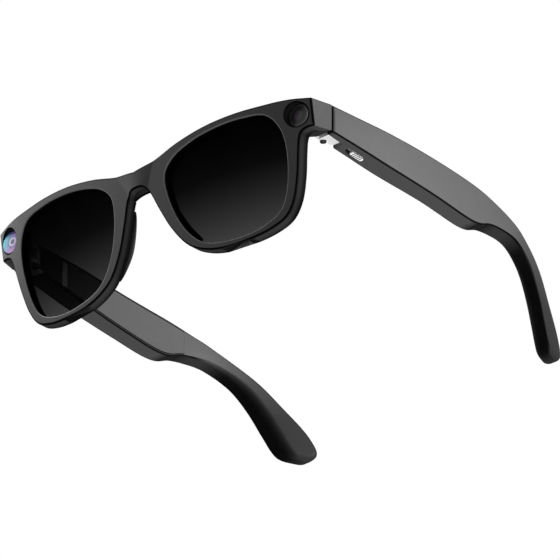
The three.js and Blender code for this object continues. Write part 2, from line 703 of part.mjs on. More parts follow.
addPiece('temple_shell_left', makeTempleShell(makeSwitchSlot()), matteBlack, LEFT);
addPiece('temple_shell_right', makeTempleShell(makeButtonSlot()), matteBlack, RIGHT);
addPiece('temple_cover_left', makeTempleCover(), matteBlack, LEFT);
addPiece('temple_cover_right', cut(makeTempleCover(), makeSensorWindow(GAP)), matteBlack, RIGHT);
addPair('temple_core', makeTempleCore(), steel);
addPair('battery', box(...BATTERY_BOX), batteryFoil);
addPair('speaker', box(...SPEAKER_BOX), blackMetal);
addPair('speaker_mesh', box(...SPEAKER_MESH_BOX), meshGrey);
addPair('microphone', box(...MICROPHONE_BOX), steel);

addPiece('power_board', box(...POWER_BOARD_BOX), boardGreen, LEFT);
addPiece('power_switch_knob', makeSwitchKnob(), switchPlastic, LEFT);
addPiece('power_switch_body', makeSwitchBody(), blackMetal, LEFT);
addPiece('main_board', box(...MAIN_BOARD_BOX), boardGreen, RIGHT);
addPiece('wear_sensor_window', makeSensorWindow(), sensorGrey, RIGHT);
addPiece('touch_sensor', box(...TOUCH_SENSOR_BOX), flexAmber, RIGHT);
addPiece('capture_button', makeCaptureButton(), matteBlack, RIGHT);
addPiece('capture_switch', makeButtonSwitch(), blackMetal, RIGHT);

// The origin is the middle of the underside of the whole object's box.
const bounds = new THREE.Box3().setFromObject(model);
model.position.set(0, -(bounds.min.y + bounds.max.y) / 2, -bounds.min.z);

export default model;
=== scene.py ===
"""Looks for the smart glasses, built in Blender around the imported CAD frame.

Shapes are worked out in millimetres in the part's own drawing frame, where z 0 is near the brow,
and are moved to the row frame in metres when a piece is finished.
"""
import json
import math
from collections import Counter

import bmesh
import bpy
import numpy as np
from mathutils import Matrix, Vector, kdtree
from mathutils.geometry import delaunay_2d_cdt


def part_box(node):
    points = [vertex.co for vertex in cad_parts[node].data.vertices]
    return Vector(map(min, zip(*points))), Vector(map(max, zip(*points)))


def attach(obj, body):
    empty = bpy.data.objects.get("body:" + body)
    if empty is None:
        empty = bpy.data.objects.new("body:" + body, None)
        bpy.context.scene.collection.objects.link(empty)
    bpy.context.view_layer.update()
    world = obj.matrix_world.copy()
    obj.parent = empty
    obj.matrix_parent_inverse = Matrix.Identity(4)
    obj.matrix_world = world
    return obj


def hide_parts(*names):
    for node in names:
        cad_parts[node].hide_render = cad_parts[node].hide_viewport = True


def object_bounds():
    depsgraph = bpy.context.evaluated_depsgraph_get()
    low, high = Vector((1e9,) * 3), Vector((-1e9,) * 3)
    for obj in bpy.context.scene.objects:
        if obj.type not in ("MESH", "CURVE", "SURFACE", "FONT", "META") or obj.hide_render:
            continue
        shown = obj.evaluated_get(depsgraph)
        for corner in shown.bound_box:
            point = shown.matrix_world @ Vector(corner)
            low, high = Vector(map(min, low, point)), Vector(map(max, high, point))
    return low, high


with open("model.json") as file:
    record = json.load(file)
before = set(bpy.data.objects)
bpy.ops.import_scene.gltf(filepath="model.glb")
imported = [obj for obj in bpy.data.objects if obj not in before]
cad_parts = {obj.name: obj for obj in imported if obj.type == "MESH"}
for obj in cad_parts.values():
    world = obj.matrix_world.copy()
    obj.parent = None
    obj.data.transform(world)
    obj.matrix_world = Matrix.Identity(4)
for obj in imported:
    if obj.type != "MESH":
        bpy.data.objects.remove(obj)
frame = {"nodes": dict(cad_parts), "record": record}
cad_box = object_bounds()

MM = 0.001
LEFT, RIGHT = 1, -1
SIDES = {"left": LEFT, "right": RIGHT}

# ---- Driving dimensions, mm, the same as the part's ----
FACE_WRAP = 0.00172
FACE_RAKE = 0.227
FACE_Y = -1.9
BRIDGE_RISE = 0.8
BRIDGE_TOP_HALF, BRIDGE_ARCH_HALF = 8.8, 4.6
BRIDGE_TOP_Z, BRIDGE_ARCH_Z = -5.6, -13.6
SWEEP_FROM_X, SWEEP_SPAN, SWEEP_TOP, SWEEP_FADE = 58, 16, 1.25, 0.06
GROOVE_FROM, LENS_FROM, LENS_TO, COVER_FROM, RIM_DEPTH = 1.75, 1.95, 2.9, 3.2, 4.2
GAP = 0.3
COVER_INSET = 0.8
COVER_END_X = 60
REST_Z = -44
WINDOW_X, WINDOW_Z, WINDOW_Y = 68.3, -5.95, 8.9
WINDOW_HOLE_R, WINDOW_GLASS_R, WINDOW_GLASS_T = 4.6, 4.15, 0.7
WINDOW_FLOOR_Y = 11.6
END_BACK_Y, END_BOTTOM_Z = 17.9, -11.3
HINGE_X, HINGE_Y = 68.4, 21.5
HINGE_TOP_Z, HINGE_BOTTOM_Z = -2.9, -10.2
COVER_T, COVER_EDGE = 1.4, 0.9
COVER_FRONT_Y, COVER_BACK_Y = 27.6, 100
CAVITY_FRONT_Y, CAVITY_BACK_Y = 28.2, 98
WALL = 1.3
SWITCH_X, SWITCH_Y, SWITCH_TRAVEL = 72.2, 33.4, 2
KNOB_LENGTH, KNOB_WIDTH = 6, 2.2
BUTTON_X, BUTTON_Y, BUTTON_LENGTH, BUTTON_WIDTH, BUTTON_PROUD = 72.6, 36, 10, 3, 0.6
LENS_REACH, GROOVE_REACH = 0.55, 0.9  # how far a lens and its groove go past the lens opening
HINGE_SLOT = (66, 70.2), (15.9, 19), (-10.8, -2.4)
HINGE_RECESS_X, HINGE_RECESS_Y = (55, 73.2), (17, 26.2)

TOP_POINTS = [
    (0, -6.8), (9, -5.4), (20, -2.4), (32.5, -0.2), (45, 0.6), (57, 0.35), (66, 0), (74.1, -0.95),
]
SIDE_POINTS = [(74, -11.2), (71.4, -11.4), (69.2, -12.4), (68.2, -14.2)]
RIM_POINTS = [
    (67.3, -18), (65.4, -27), (62.7, -35), (59, -40), (52.4, -42.8), (42.3, -44.2), (32, -44.1),
    (24.4, -42.3), (18.3, -39), (12.4, -31.6), (8, -22.6), (4.8, -15.2), (2.6, -13), (0, -12.7),
]
LENS_POINTS = [
    (12.7, -11.8), (16.6, -7.4), (24.5, -4.2), (35.6, -2.2), (47.4, -1.9), (57.1, -3.7), (61.9, -10.8),
    (61.9, -24.8), (57.3, -37), (48, -41.4), (35.3, -42.1), (24.4, -39.5), (17.7, -32.7), (13.1, -21.2),
]
TEMPLE_TOP = [
    (18.2, -1), (32, -1.15), (47.6, -1.3), (68.7, -2.3), (90, -3.9), (97, -4.8), (105, -6.3), (113, -8),
    (121, -10.5), (134, -17), (145, -26.6), (153, -34.4), (155.9, -40.2), (153.8, -43.2), (150.6, -44.4),
]
TEMPLE_BOTTOM = [
    (18.2, -11.3), (32, -12.9), (45.5, -14.6), (69.9, -17), (88, -18.8), (93.4, -18.2), (99, -16),
    (106, -14.9), (115.2, -15), (125.9, -19.5), (133, -26.7), (138.5, -35.1), (141.9, -40.4),
    (144.6, -43.3), (147.2, -44.4),
]
TEMPLE_OUTER = [
    (18.2, 75.9), (45, 77.4), (70, 78), (95, 77.3), (115, 74.9), (125, 72.4), (135, 69.1), (145, 65),
    (156, 60.4),
]
TEMPLE_INNER = [
    (18.2, 68.5), (45, 69.3), (70, 70.7), (95, 70.2), (115, 68), (125, 65.4), (135, 61.9), (145, 57.8),
    (156, 53.6),
]

PAD_SPINE = [(6, -17.4), (9.4, -25), (12.6, -31), (18.2, -38.4)]
PAD_SECTION = [(0.4, 0), (0.9, 0.3), (0.5, 0.6), (-0.9, 0.9), (-2.6, 1), (-3.6, 0.75), (-4, 0.4), (-4, 0)]
PAD_EDGE, PAD_SWELL, PAD_END_TAPER = 0.4, 2.6, 0.9
BARREL_R, PIN_R, PIN_CLEARANCE, KNUCKLE_H = 1.5, 0.7, 0.15, 1.8
LEAF_SCREWS = [(24.6, -4.6), (24.6, -8.2)]
FOOT_NOTCH = (68.4, 25.3)
SCREW_HOLE_R = 0.8
SPEAKER_OUTLET = (73.4, 75), (84, 92), (-7, 0)
SPEAKER_GRILLE = (73.7, 74.7), (84.3, 91.7), (-5, -4.6)
MICROPHONE_PORT = (73.3, 46.5)
CORE_HEIGHT, CORE_HALF_T, CORE_FROM_Y, CORE_TO_Y = 3, 0.6, 95, 140
SENSOR_Y, SENSOR_Z, SENSOR_T = (35.8, 38.5), (-12.3, -2.6), 0.9

# ---- Finer detail than the CAD has, mm ----
EDGE_R = 0.5  # rounding of the front's edges
LENS_EDGE_R = 0.35
BACK_EDGE_R = 0.2
END_EDGE_R = 0.15
HOLE_EDGE_R = 0.1
EDGE_STEPS = 5
EDGE_FADE = 0.16  # a rounded edge's line ends this far past the rounding, as a share of its radius
WALL_FADE = 0.1  # and this far into a wall
RING_CLEAR = 0.04  # the last ring of points is this much further in than the line
LINE_CLEAR = 0.35  # drawn lines stay this far from the rings
GRID_CLEAR = 0.55  # and points inside a face this share of their spacing
END_WALL_FROM, END_WALL_SPAN = 4.6, 1.5  # a side wall deeper than this is an end piece's
LINE_GONE_R, LINE_FADE_R = 1.5, 0.9  # a temple's dark line fades out as its edge's rounding nears 1.5
KNOB_GROOVE_R, KNOB_GROOVE_Z = 0.24, -0.27
KNOB_GROOVES = (-1.8, -0.9, 0, 0.9, 1.8)

# Painted shade and painted highlight: how dark points are made, where 1 is black, 0 is the plain finish,
# and -1 is paler.
# Painted shade on the rims' side walls, more where a wall faces sideways.
WALL_SHADE_MARKS = [0.6, 0.55, 0.6, 0.75, 0.95]  # a rim's side walls, from front to back
# Painted shade in the walls of the lens openings and the window bores.
HOLE_SHADE_MARKS = [1, 0.97, 0.97, 0.97, 1]  # the walls of the lens openings and the window bores
SIDEWAYS_SHADE_MARK = 0.35  # more, where a wall faces sideways
# A painted highlight: paler bevels round the lens openings.
PAINTED_HIGHLIGHT_MARK = -1  # the bevels of the lens openings
# Painted shade on the outer sides of the end pieces.
END_SHADE_MARK = 0.3  # the outer sides of the end pieces
# Painted shade under the end pieces.
RAMP_SHADE_MARK = 0.75  # the undersides of the end pieces
MARK_SAME = 0.03  # a vertex takes the value of a drawn point this near
MARK_REACH = 1.2  # or else a mean of drawn points this near

RING_STEP = 0.9  # spacing of points along an outline
FACE_STEP = 1.7  # spacing of points inside a face
ROWS_PER_SPAN = 9  # rings of a temple between two of its drawn points
CORNER_STEPS = 6
SEAM_GROW = 0.24  # the temple covers fill their openings this much more than the CAD's
SIDE_CROWN = 0.12  # a temple's sides fall this much towards their upper and lower edges
TIP_R = 3.5  # a temple's tip thins over this length

# The drawing frame's place in the row frame.
pin_low, pin_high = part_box("hinge_pin_left")
LIFT = Vector((0, (pin_low.y + pin_high.y) / 2 / MM - HINGE_Y, -REST_Z))


# ---- Curves ----
def spline(points, per_span, closed=False):
    """A centripetal Catmull-Rom curve through the points."""
    p = np.array(points, float)
    n = len(p)
    spans = n if closed else n - 1
    out = []
    for i in range(spans):
        p1, p2 = p[i], p[(i + 1) % n]
        p0 = p[i - 1] if closed or i > 0 else 2 * p1 - p2
        p3 = p[(i + 2) % n] if closed or i + 2 < n else 2 * p2 - p1
        d0, d1, d2 = (max(np.linalg.norm(b - a) ** 0.5, 1e-4) for a, b in ((p0, p1), (p1, p2), (p2, p3)))
        m1 = ((p1 - p0) / d0 - (p2 - p0) / (d0 + d1) + (p2 - p1) / d1) * d1
        m2 = ((p2 - p1) / d1 - (p3 - p1) / (d1 + d2) + (p3 - p2) / d2) * d1
        for t in np.arange(per_span) / per_span:
            a = 2 * t**3 - 3 * t**2 + 1
            b = t**3 - 2 * t**2 + t
            out.append(a * p1 + b * m1 + (1 - a) * p2 + (t**3 - t**2) * m2)
    if not closed:
        out.append(p[-1])
    return np.array(out)


def spread(points, step, closed=False):
    """The same curve with points about one step apart."""
    p = np.vstack([points, points[:1]]) if closed else np.array(points, float)
    along = np.concatenate([[0], np.cumsum(np.linalg.norm(np.diff(p, axis=0), axis=1))])
    count = max(int(round(along[-1] / step)), 2)
    at = np.linspace(0, along[-1], count + 1)
    if closed:
        at = at[:-1]
    return np.column_stack([np.interp(at, along, p[:, k]) for k in range(2)])


def smooth_function(table):
    """A smooth function through (input, output) points, flat beyond its ends."""
    t = np.array(table, float)
    last = len(t) - 1
    slope = np.array([
        (t[min(i + 1, last), 1] - t[max(i - 1, 0), 1]) / (t[min(i + 1, last), 0] - t[max(i - 1, 0), 0])
        for i in range(len(t))
    ])

    def value(v):
        v = np.asarray(v, float)
        i = np.clip(np.searchsorted(t[:, 0], v, side="right") - 1, 0, last - 1)
        span = t[i + 1, 0] - t[i, 0]
        u = np.clip((v - t[i, 0]) / span, 0, 1)
        rise = (t[i + 1, 1] - t[i, 1]) * (3 * u**2 - 2 * u**3)
        return t[i, 1] + rise + span * (slope[i] * (u - 2 * u**2 + u**3) + slope[i + 1] * (u**3 - u**2))

    return value


def offset(loop, distance):
    """An anticlockwise loop moved inwards by a distance, outwards when negative."""
    edge = np.roll(loop, -1, 0) - loop
    edge /= np.linalg.norm(edge, axis=1)[:, None]
    inward = np.column_stack([-edge[:, 1], edge[:, 0]])
    before = np.roll(inward, 1, 0)
    share = 1 + (inward * before).sum(1)
    return loop + distance * (inward + before) / np.maximum(share, 0.5)[:, None]


def anticlockwise(loop):
    x, z = loop.T
    area = (x * np.roll(z, -1) - np.roll(x, -1) * z).sum()
    return loop if area > 0 else loop[::-1].copy()


def inside(points, loop):
    """Which points lie inside a loop."""
    x, z = points[:, 0][:, None], points[:, 1][:, None]
    x0, z0 = loop.T
    x1, z1 = np.roll(loop, -1, 0).T
    spans = (z0 > z) != (z1 > z)
    with np.errstate(divide="ignore", invalid="ignore"):
        crossing = x < (x1 - x0) * (z - z0) / (z1 - z0) + x0
    return (spans & crossing).sum(1) % 2 == 1


def between(points, border, holes):
    """Which points lie inside a border and outside its holes."""
    found = inside(points, border)
    for hole in holes:
        found &= ~inside(points, hole)
    return found


def nearest(points, others):
    """Each point's distance to the nearest of the others."""
    best = np.full(len(points), 1e9)
    for start in range(0, len(others), 200):
        gap = points[:, None, :] - others[None, start:start + 200, :]
        best = np.minimum(best, np.sqrt((gap**2).sum(2)).min(1))
    return best


# ---- Meshes ----
def placed(name, data):
    """A new object in the scene."""
    obj = bpy.data.objects.new(name, data)
    bpy.context.scene.collection.objects.link(obj)
    return obj


edge_marks = {}  # object name: the points it was drawn with, and how dark each is made


def solid(points, faces, edge=None):
    """A closed mesh object in the drawing frame, facing out. Edge says how dark each point is made."""
    points = np.asarray(points, float)
    mesh = bpy.data.meshes.new("solid")
    mesh.from_pydata(points.tolist(), [], [tuple(map(int, f)) for f in faces])
    work = bmesh.new()
    work.from_mesh(mesh)
    bmesh.ops.delete(work, geom=[v for v in work.verts if not v.link_faces], context="VERTS")
    bmesh.ops.recalc_face_normals(work, faces=work.faces)
    if work.calc_volume(signed=True) < 0:
        bmesh.ops.reverse_faces(work, faces=work.faces)
    work.to_mesh(mesh)
    work.free()
    obj = placed("solid", mesh)
    if edge is not None:
        edge_marks[obj.name] = (points, np.asarray(edge, float))
    return obj


def moved(obj, matrix):
    """The solid after a move, a turn or a mirroring."""
    obj.data.transform(matrix)
    if matrix.determinant() < 0:
        obj.data.flip_normals()
    if obj.name in edge_marks:
        points, values = edge_marks[obj.name]
        points = (np.column_stack([points, np.ones(len(points))]) @ np.array(matrix).T)[:, :3]
        edge_marks[obj.name] = (points, values)
    return obj


def on_side(obj, side):
    """A solid drawn at the left, at the side it's for."""
    return obj if side == LEFT else moved(obj, Matrix.Diagonal((-1, 1, 1, 1)))


def combine(obj, tools, operation):
    for tool in tools:
        modifier = obj.modifiers.new("combine", "BOOLEAN")
        modifier.operation = operation
        modifier.solver = "MANIFOLD"
        modifier.object = tool
    graph = bpy.context.evaluated_depsgraph_get()
    mesh = bpy.data.meshes.new_from_object(obj.evaluated_get(graph))
    obj.modifiers.clear()
    obj.data = mesh
    for tool in tools:
        bpy.data.objects.remove(tool)
    return obj


def cut(obj, *tools):
    return combine(obj, tools, "DIFFERENCE")


def joined(obj, *tools):
    return combine(obj, tools, "UNION")


def kept(obj, tool):
    return combine(obj, [tool], "INTERSECT")


def edge_values(mesh, points, values):
    """How dark each vertex is made, from the points that the solid was drawn with."""
    found = np.zeros(len(mesh.vertices), np.float32)
    if not len(points):
        return found
    tree = kdtree.KDTree(len(points))
    for i, point in enumerate(points):
        tree.insert(point, i)
    tree.balance()
    for i, vertex in enumerate(mesh.vertices):
        near = tree.find_n(vertex.co, 3)
        if near[0][2] < MARK_SAME:
            found[i] = values[near[0][1]]
        elif near[0][2] < MARK_REACH:
            weights = [1 / distance for _, _, distance in near]
            found[i] = sum(w * values[number] for w, (_, number, _) in zip(weights, near)) / sum(weights)
    return found


def finish_piece(obj, name, body, material, nodes, sharp=38):
    """Moves a solid to the row frame, gives it its name, material and body, and hides the CAD nodes that
    it stands for.
    """
    mesh = obj.data
    # The painted shade and painted highlight values, for the material to read.
    store = mesh.attributes.get("edge") or mesh.attributes.new("edge", "FLOAT", "POINT")
    store.data.foreach_set("value", edge_values(mesh, *edge_marks.pop(obj.name, ((), ()))))
    mesh.transform(Matrix.Diagonal((MM, MM, MM, 1)) @ Matrix.Translation(LIFT))
    mesh.shade_smooth()
    mesh.set_sharp_from_angle(angle=math.radians(sharp))
    mesh.materials.clear()
    mesh.materials.append(material)
    obj.name = name
    mesh.name = name
    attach(obj, body)
    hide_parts(*nodes)
    return obj


def box(x, y, z):
    corners = [(a, b, c) for a in x for b in y for c in z]
    faces = [(0, 1, 3, 2), (4, 6, 7, 5), (0, 4, 5, 1), (2, 3, 7, 6), (0, 2, 6, 4), (1, 5, 7, 3)]
    return solid(corners, faces)


def loft(rings, edge=None, closed=False):
    """A skin over rings of equal length, with flat ends, or joined end to end when closed."""
    rings = np.array(rings, float)
    count, size = rings.shape[:2]
    faces = []
    for r in range(count if closed else count - 1):
        start, after = r * size, (r + 1) % count * size
        for k in range(size):
            j = (k + 1) % size
            faces.append((start + k, after + k, after + j, start + j))
    if not closed:
        faces.append(tuple(range(size)))
        faces.append(tuple((count - 1) * size + k for k in range(size)))
    return solid(rings.reshape(-1, 3), faces, None if edge is None else np.array(edge).reshape(-1))


def lathe(profile, centre, axis="y", sides=72, closed=False):
    """A solid turned about an axis through centre.

    The profile is (radius, along) from axis to axis, or goes round a ring's section when closed.
    """
    angles = np.arange(sides) * 2 * math.pi / sides
    rings = []
    for radius, along in profile:
        reach = max(radius, 1e-3)
        u, v = centre[0] + reach * np.cos(angles), centre[1] + reach * np.sin(angles)
        w = np.full(sides, along)
        columns = {"y": (u, w, v), "z": (u, v, w), "x": (w, u, v)}[axis]
        rings.append(np.column_stack(columns))
    return loft(rings, closed=closed)


def rounded_disc(radius, low, high, r=0.2, steps=4):
    """The (radius, along) profile of a disc with rounded rims, from axis to axis."""
    quarter = [(math.sin(t), 1 - math.cos(t)) for t in np.linspace(0, math.pi / 2, steps + 1)]
    rise = [(radius - r + r * s, low + r * c) for s, c in quarter]
    fall = [(radius - r + r * s, high - r * c) for s, c in reversed(quarter)]
    return [(0, low), *rise, *fall, (0, high)]


# ---- Front ----
def bridge_half(z):
    """Half the width of the raised bridge band at a height."""
    down = np.clip((BRIDGE_TOP_Z - z) / (BRIDGE_TOP_Z - BRIDGE_ARCH_Z), 0, 1)
    return BRIDGE_TOP_HALF + (BRIDGE_ARCH_HALF - BRIDGE_TOP_HALF) * down


def face_y(x, z):
    """The front face."""
    x, z = np.asarray(x, float), np.asarray(z, float)
    rise = BRIDGE_RISE * np.maximum(0, 1 - (x / bridge_half(z)) ** 2)
    outward = np.maximum(0, (np.abs(x) - SWEEP_FROM_X) / SWEEP_SPAN) ** 2
    sweep = outward * np.maximum(0, SWEEP_TOP + SWEEP_FADE * z)
    return FACE_WRAP * x**2 - FACE_RAKE * z + FACE_Y - rise + sweep


def mirror_half(half):
    return np.vstack([half, (half[1:-1] * (-1, 1))[::-1]])


top_half = spread(spline(TOP_POINTS, 12), RING_STEP)
end_edge = spread(np.array([TOP_POINTS[-1], SIDE_POINTS[0]], float), RING_STEP)
rim_half = spread(spline(SIDE_POINTS + RIM_POINTS, 12), RING_STEP)


def rounded_join(first, second, radius=0.4, steps=4):
    """Two lines that meet at a corner, joined by a small curve."""
    corner = second[0]
    before = corner + radius * (first[-2] - corner) / np.linalg.norm(first[-2] - corner)
    after = corner + radius * (second[1] - corner) / np.linalg.norm(second[1] - corner)
    t = np.linspace(0, 1, steps + 1)[:, None]
    curve = (1 - t) ** 2 * before + 2 * t * (1 - t) * corner + t**2 * after
    return np.vstack([first[:-1], curve, second[1:]])


outline = anticlockwise(mirror_half(rounded_join(rounded_join(top_half, end_edge), rim_half)))
lens_loop = anticlockwise(spread(spline(LENS_POINTS, 16, closed=True), RING_STEP, closed=True))
lens_mirror = anticlockwise(lens_loop * (-1, 1))


def circle(x, z, radius, sides=64):
    t = np.arange(sides) * 2 * math.pi / sides
    return np.column_stack([x + radius * np.cos(t), z + radius * np.sin(t)])


def creases():
    """The two lines where the raised bridge band meets the face, from near the brow to near the arch."""
    top, arch = BRIDGE_TOP_Z - 1.0, BRIDGE_ARCH_Z - 0.3
    z = top + (arch - top) * np.linspace(0, 1, 9)
    return [
        np.column_stack([side * (bridge_half(z) + beside), z])[:-1]
        for side in (LEFT, RIGHT) for beside in (-0.2, 0, 0.2)
    ]


def without_slivers(points, triangles, loops, flat=0.001):
    """The triangles without the flat ones that lie outside a straight stretch of a loop.

    Such a triangle has an edge that no other triangle shares and that isn't part of a loop.
    """
    rims = {frozenset(edge) for loop in loops for edge in zip(loop, loop[1:] + loop[:1])}
    first, second, third = (points[triangles[:, k]] for k in range(3))
    (ux, uz), (vx, vz) = (second - first).T, (third - first).T
    is_flat = np.abs(ux * vz - uz * vx) < flat
    edges = [[frozenset((t[k], t[(k + 1) % 3])) for k in range(3)] for t in triangles.tolist()]
    chosen = list(range(len(triangles)))
    before = None
    while before != len(chosen):
        before = len(chosen)
        uses = Counter(edge for i in chosen for edge in edges[i])
        loose = {edge for edge, count in uses.items() if count == 1} - rims
        chosen = [i for i in chosen if not (is_flat[i] and loose.intersection(edges[i]))]
    return triangles[chosen]


def face_grid(border, step):
    """Points in even triangles over a border's whole box."""
    low, high = border.min(0), border.max(0)
    rows = np.arange(low[1], high[1], step * 0.866)
    columns = np.arange(low[0], high[0], step)
    return np.array([(x + (row % 2) * step / 2, z) for row, z in enumerate(rows) for x in columns])


def region(border, holes, radii, lines=(), step=FACE_STEP, light=()):
    """Triangles between a border and its holes, with close rings of points where the edges are rounded.

    Radii has the border's rounding and each hole's, and light the numbers of the loops with a painted pale
    highlight line.
    Returns the points, the triangles, how far the surface falls at each point, how dark each point is,
    and the point numbers of each loop.
    """
    points, edges, falls, marks, loops = [], [], [], [], []
    total = 0
    for place, (loop, radius) in enumerate(zip([border, *holes], radii)):
        sign = 1 if place == 0 else -1
        turns = np.linspace(0, math.pi / 2, EDGE_STEPS + 1) if radius else np.array([0.0])
        for k, turn in enumerate([*turns, None]):
            last = turn is None
            distance = radius * (1 + EDGE_FADE) + RING_CLEAR if last else radius * (1 - math.cos(turn))
            points.append(offset(loop, sign * distance))
            falls.append(np.full(len(loop), 0 if last else radius * (1 - math.sin(turn))))
            # Each rounded edge gets a painted dark line of shade; the loops in light get a painted pale
            # highlight instead.
            level = PAINTED_HIGHLIGHT_MARK if place in light else 1
            marks.append(np.full(len(loop), level if radius and not last else 0.0))
            numbers = total + np.arange(len(loop))
            edges += list(zip(numbers.tolist(), np.roll(numbers, -1).tolist()))
            total += len(loop)
            if k == 0:
                loops.append(numbers)
    rings = np.vstack(points)
    for line in lines:
        line = line[inside(line, border) & (nearest(line, rings) > LINE_CLEAR)]
        edges += [(total + i, total + i + 1) for i in range(len(line) - 1)]
        points.append(line)
        total += len(line)
    rings = np.vstack(points)
    grid = face_grid(border, step)
    points.append(grid[between(grid, border, holes) & (nearest(grid, rings) > GRID_CLEAR * step)])
    everything = [Vector(p) for p in np.vstack(points)]
    made, _, triangles, origin, _, _ = delaunay_2d_cdt(everything, edges, [], 0, 1e-7)
    made = np.array([tuple(p) for p in made])
    ring_fall, ring_mark = np.concatenate(falls), np.concatenate(marks)
    fall, mark = np.zeros(len(made)), np.zeros(len(made))
    number = {}
    for i, sources in enumerate(origin):
        for source in sources:
            number[source] = i
            if source < len(ring_fall):
                fall[i] = ring_fall[source]
                mark[i] = ring_mark[source]
    triangles = np.array([t for t in triangles if len(t) == 3])
    triangles = triangles[between(made[triangles].mean(1), border, holes)]
    loops = [[number[int(i)] for i in loop] for loop in loops]
    return made, without_slivers(made, triangles, loops), fall, mark, loops


def plate(border, holes, front, back, radius, step=FACE_STEP):
    """A plate that follows the face between two depths, with rounded edges."""
    points, triangles, fall, mark, loops = region(border, holes, [radius] * (1 + len(holes)), step=step)
    face = face_y(*points.T)
    count = len(points)
    vertices = np.vstack([
        np.column_stack([points[:, 0], face + front + fall, points[:, 1]]),
        np.column_stack([points[:, 0], face + back - fall, points[:, 1]]),
    ])
    faces = [tuple(t) for t in triangles] + [tuple(t + count) for t in triangles]
    for loop in loops:
        faces += [(a, b, b + count, a + count) for a, b in zip(loop, loop[1:] + loop[:1])]
    return solid(vertices, faces, np.tile(mark, 2))


# Plan view (x, y) of an end piece's back, and how its outer side spreads towards the hinge.
END_PLAN = [(59.4, 8), (60, 8), (61.5, 12.5), (67.9, END_BACK_Y), (80, END_BACK_Y)]
END_FLARE, FLARE_FROM_Y, FLARE_FROM_X, FLARE_SPAN = 1.8, 9, 60, 14.1
END_STEP_X, END_STEP_Z = (63.6, 73), 0.8


def shell_back(x, z):
    """Back surface of the front shell: the rims, and the end pieces above their underside."""
    rim = face_y(x, z) + RIM_DEPTH
    plan = np.interp(np.abs(x), *np.array(END_PLAN).T)
    up = np.clip((z - END_BOTTOM_Z + END_STEP_Z / 2) / END_STEP_Z, 0, 1)
    block = np.where(np.abs(x) > END_PLAN[1][0] - 0.6, np.maximum(plan, rim), rim)
    return rim + (block - rim) * up * up * (3 - 2 * up)


def wall(near, far, near_numbers, far_numbers, start, darkness):
    """Faces between two loops, with rows of new points close to both and between them."""
    size = len(near)
    length = np.linalg.norm(far - near, axis=1)[:, None]
    fade = np.minimum(WALL_FADE / np.maximum(length, 1e-6), 0.3)
    quarter = 0.25 * (1 - 2 * fade)
    shares = [fade, 0.5 - quarter, np.full_like(fade, 0.5), 0.5 + quarter, 1 - fade]
    rows = np.vstack([near + (far - near) * share for share in shares])
    numbers = [near_numbers]
    numbers += [list(range(start + k * size, start + (k + 1) * size)) for k in range(len(shares))]
    numbers.append(far_numbers)
    faces = []
    for low, high in zip(numbers, numbers[1:]):
        faces += [(low[i], low[(i + 1) % size], high[(i + 1) % size], high[i]) for i in range(size)]
    # Painted shade on the wall: its level, more where it faces sideways, and the end pieces' painted shade
    # on deep walls.
    on_end_piece = np.clip((length[:, 0] - END_WALL_FROM) / END_WALL_SPAN, 0, 1)
    ahead = np.roll(near, -1, 0) - np.roll(near, 1, 0)
    sideways = np.abs(ahead[:, 2]) / np.linalg.norm(ahead, axis=1)
    darker = np.array(darkness)[:, None] + SIDEWAYS_SHADE_MARK * sideways
    darker = darker + (END_SHADE_MARK - darker) * on_end_piece
    return faces, rows, np.minimum(darker, 1).ravel()


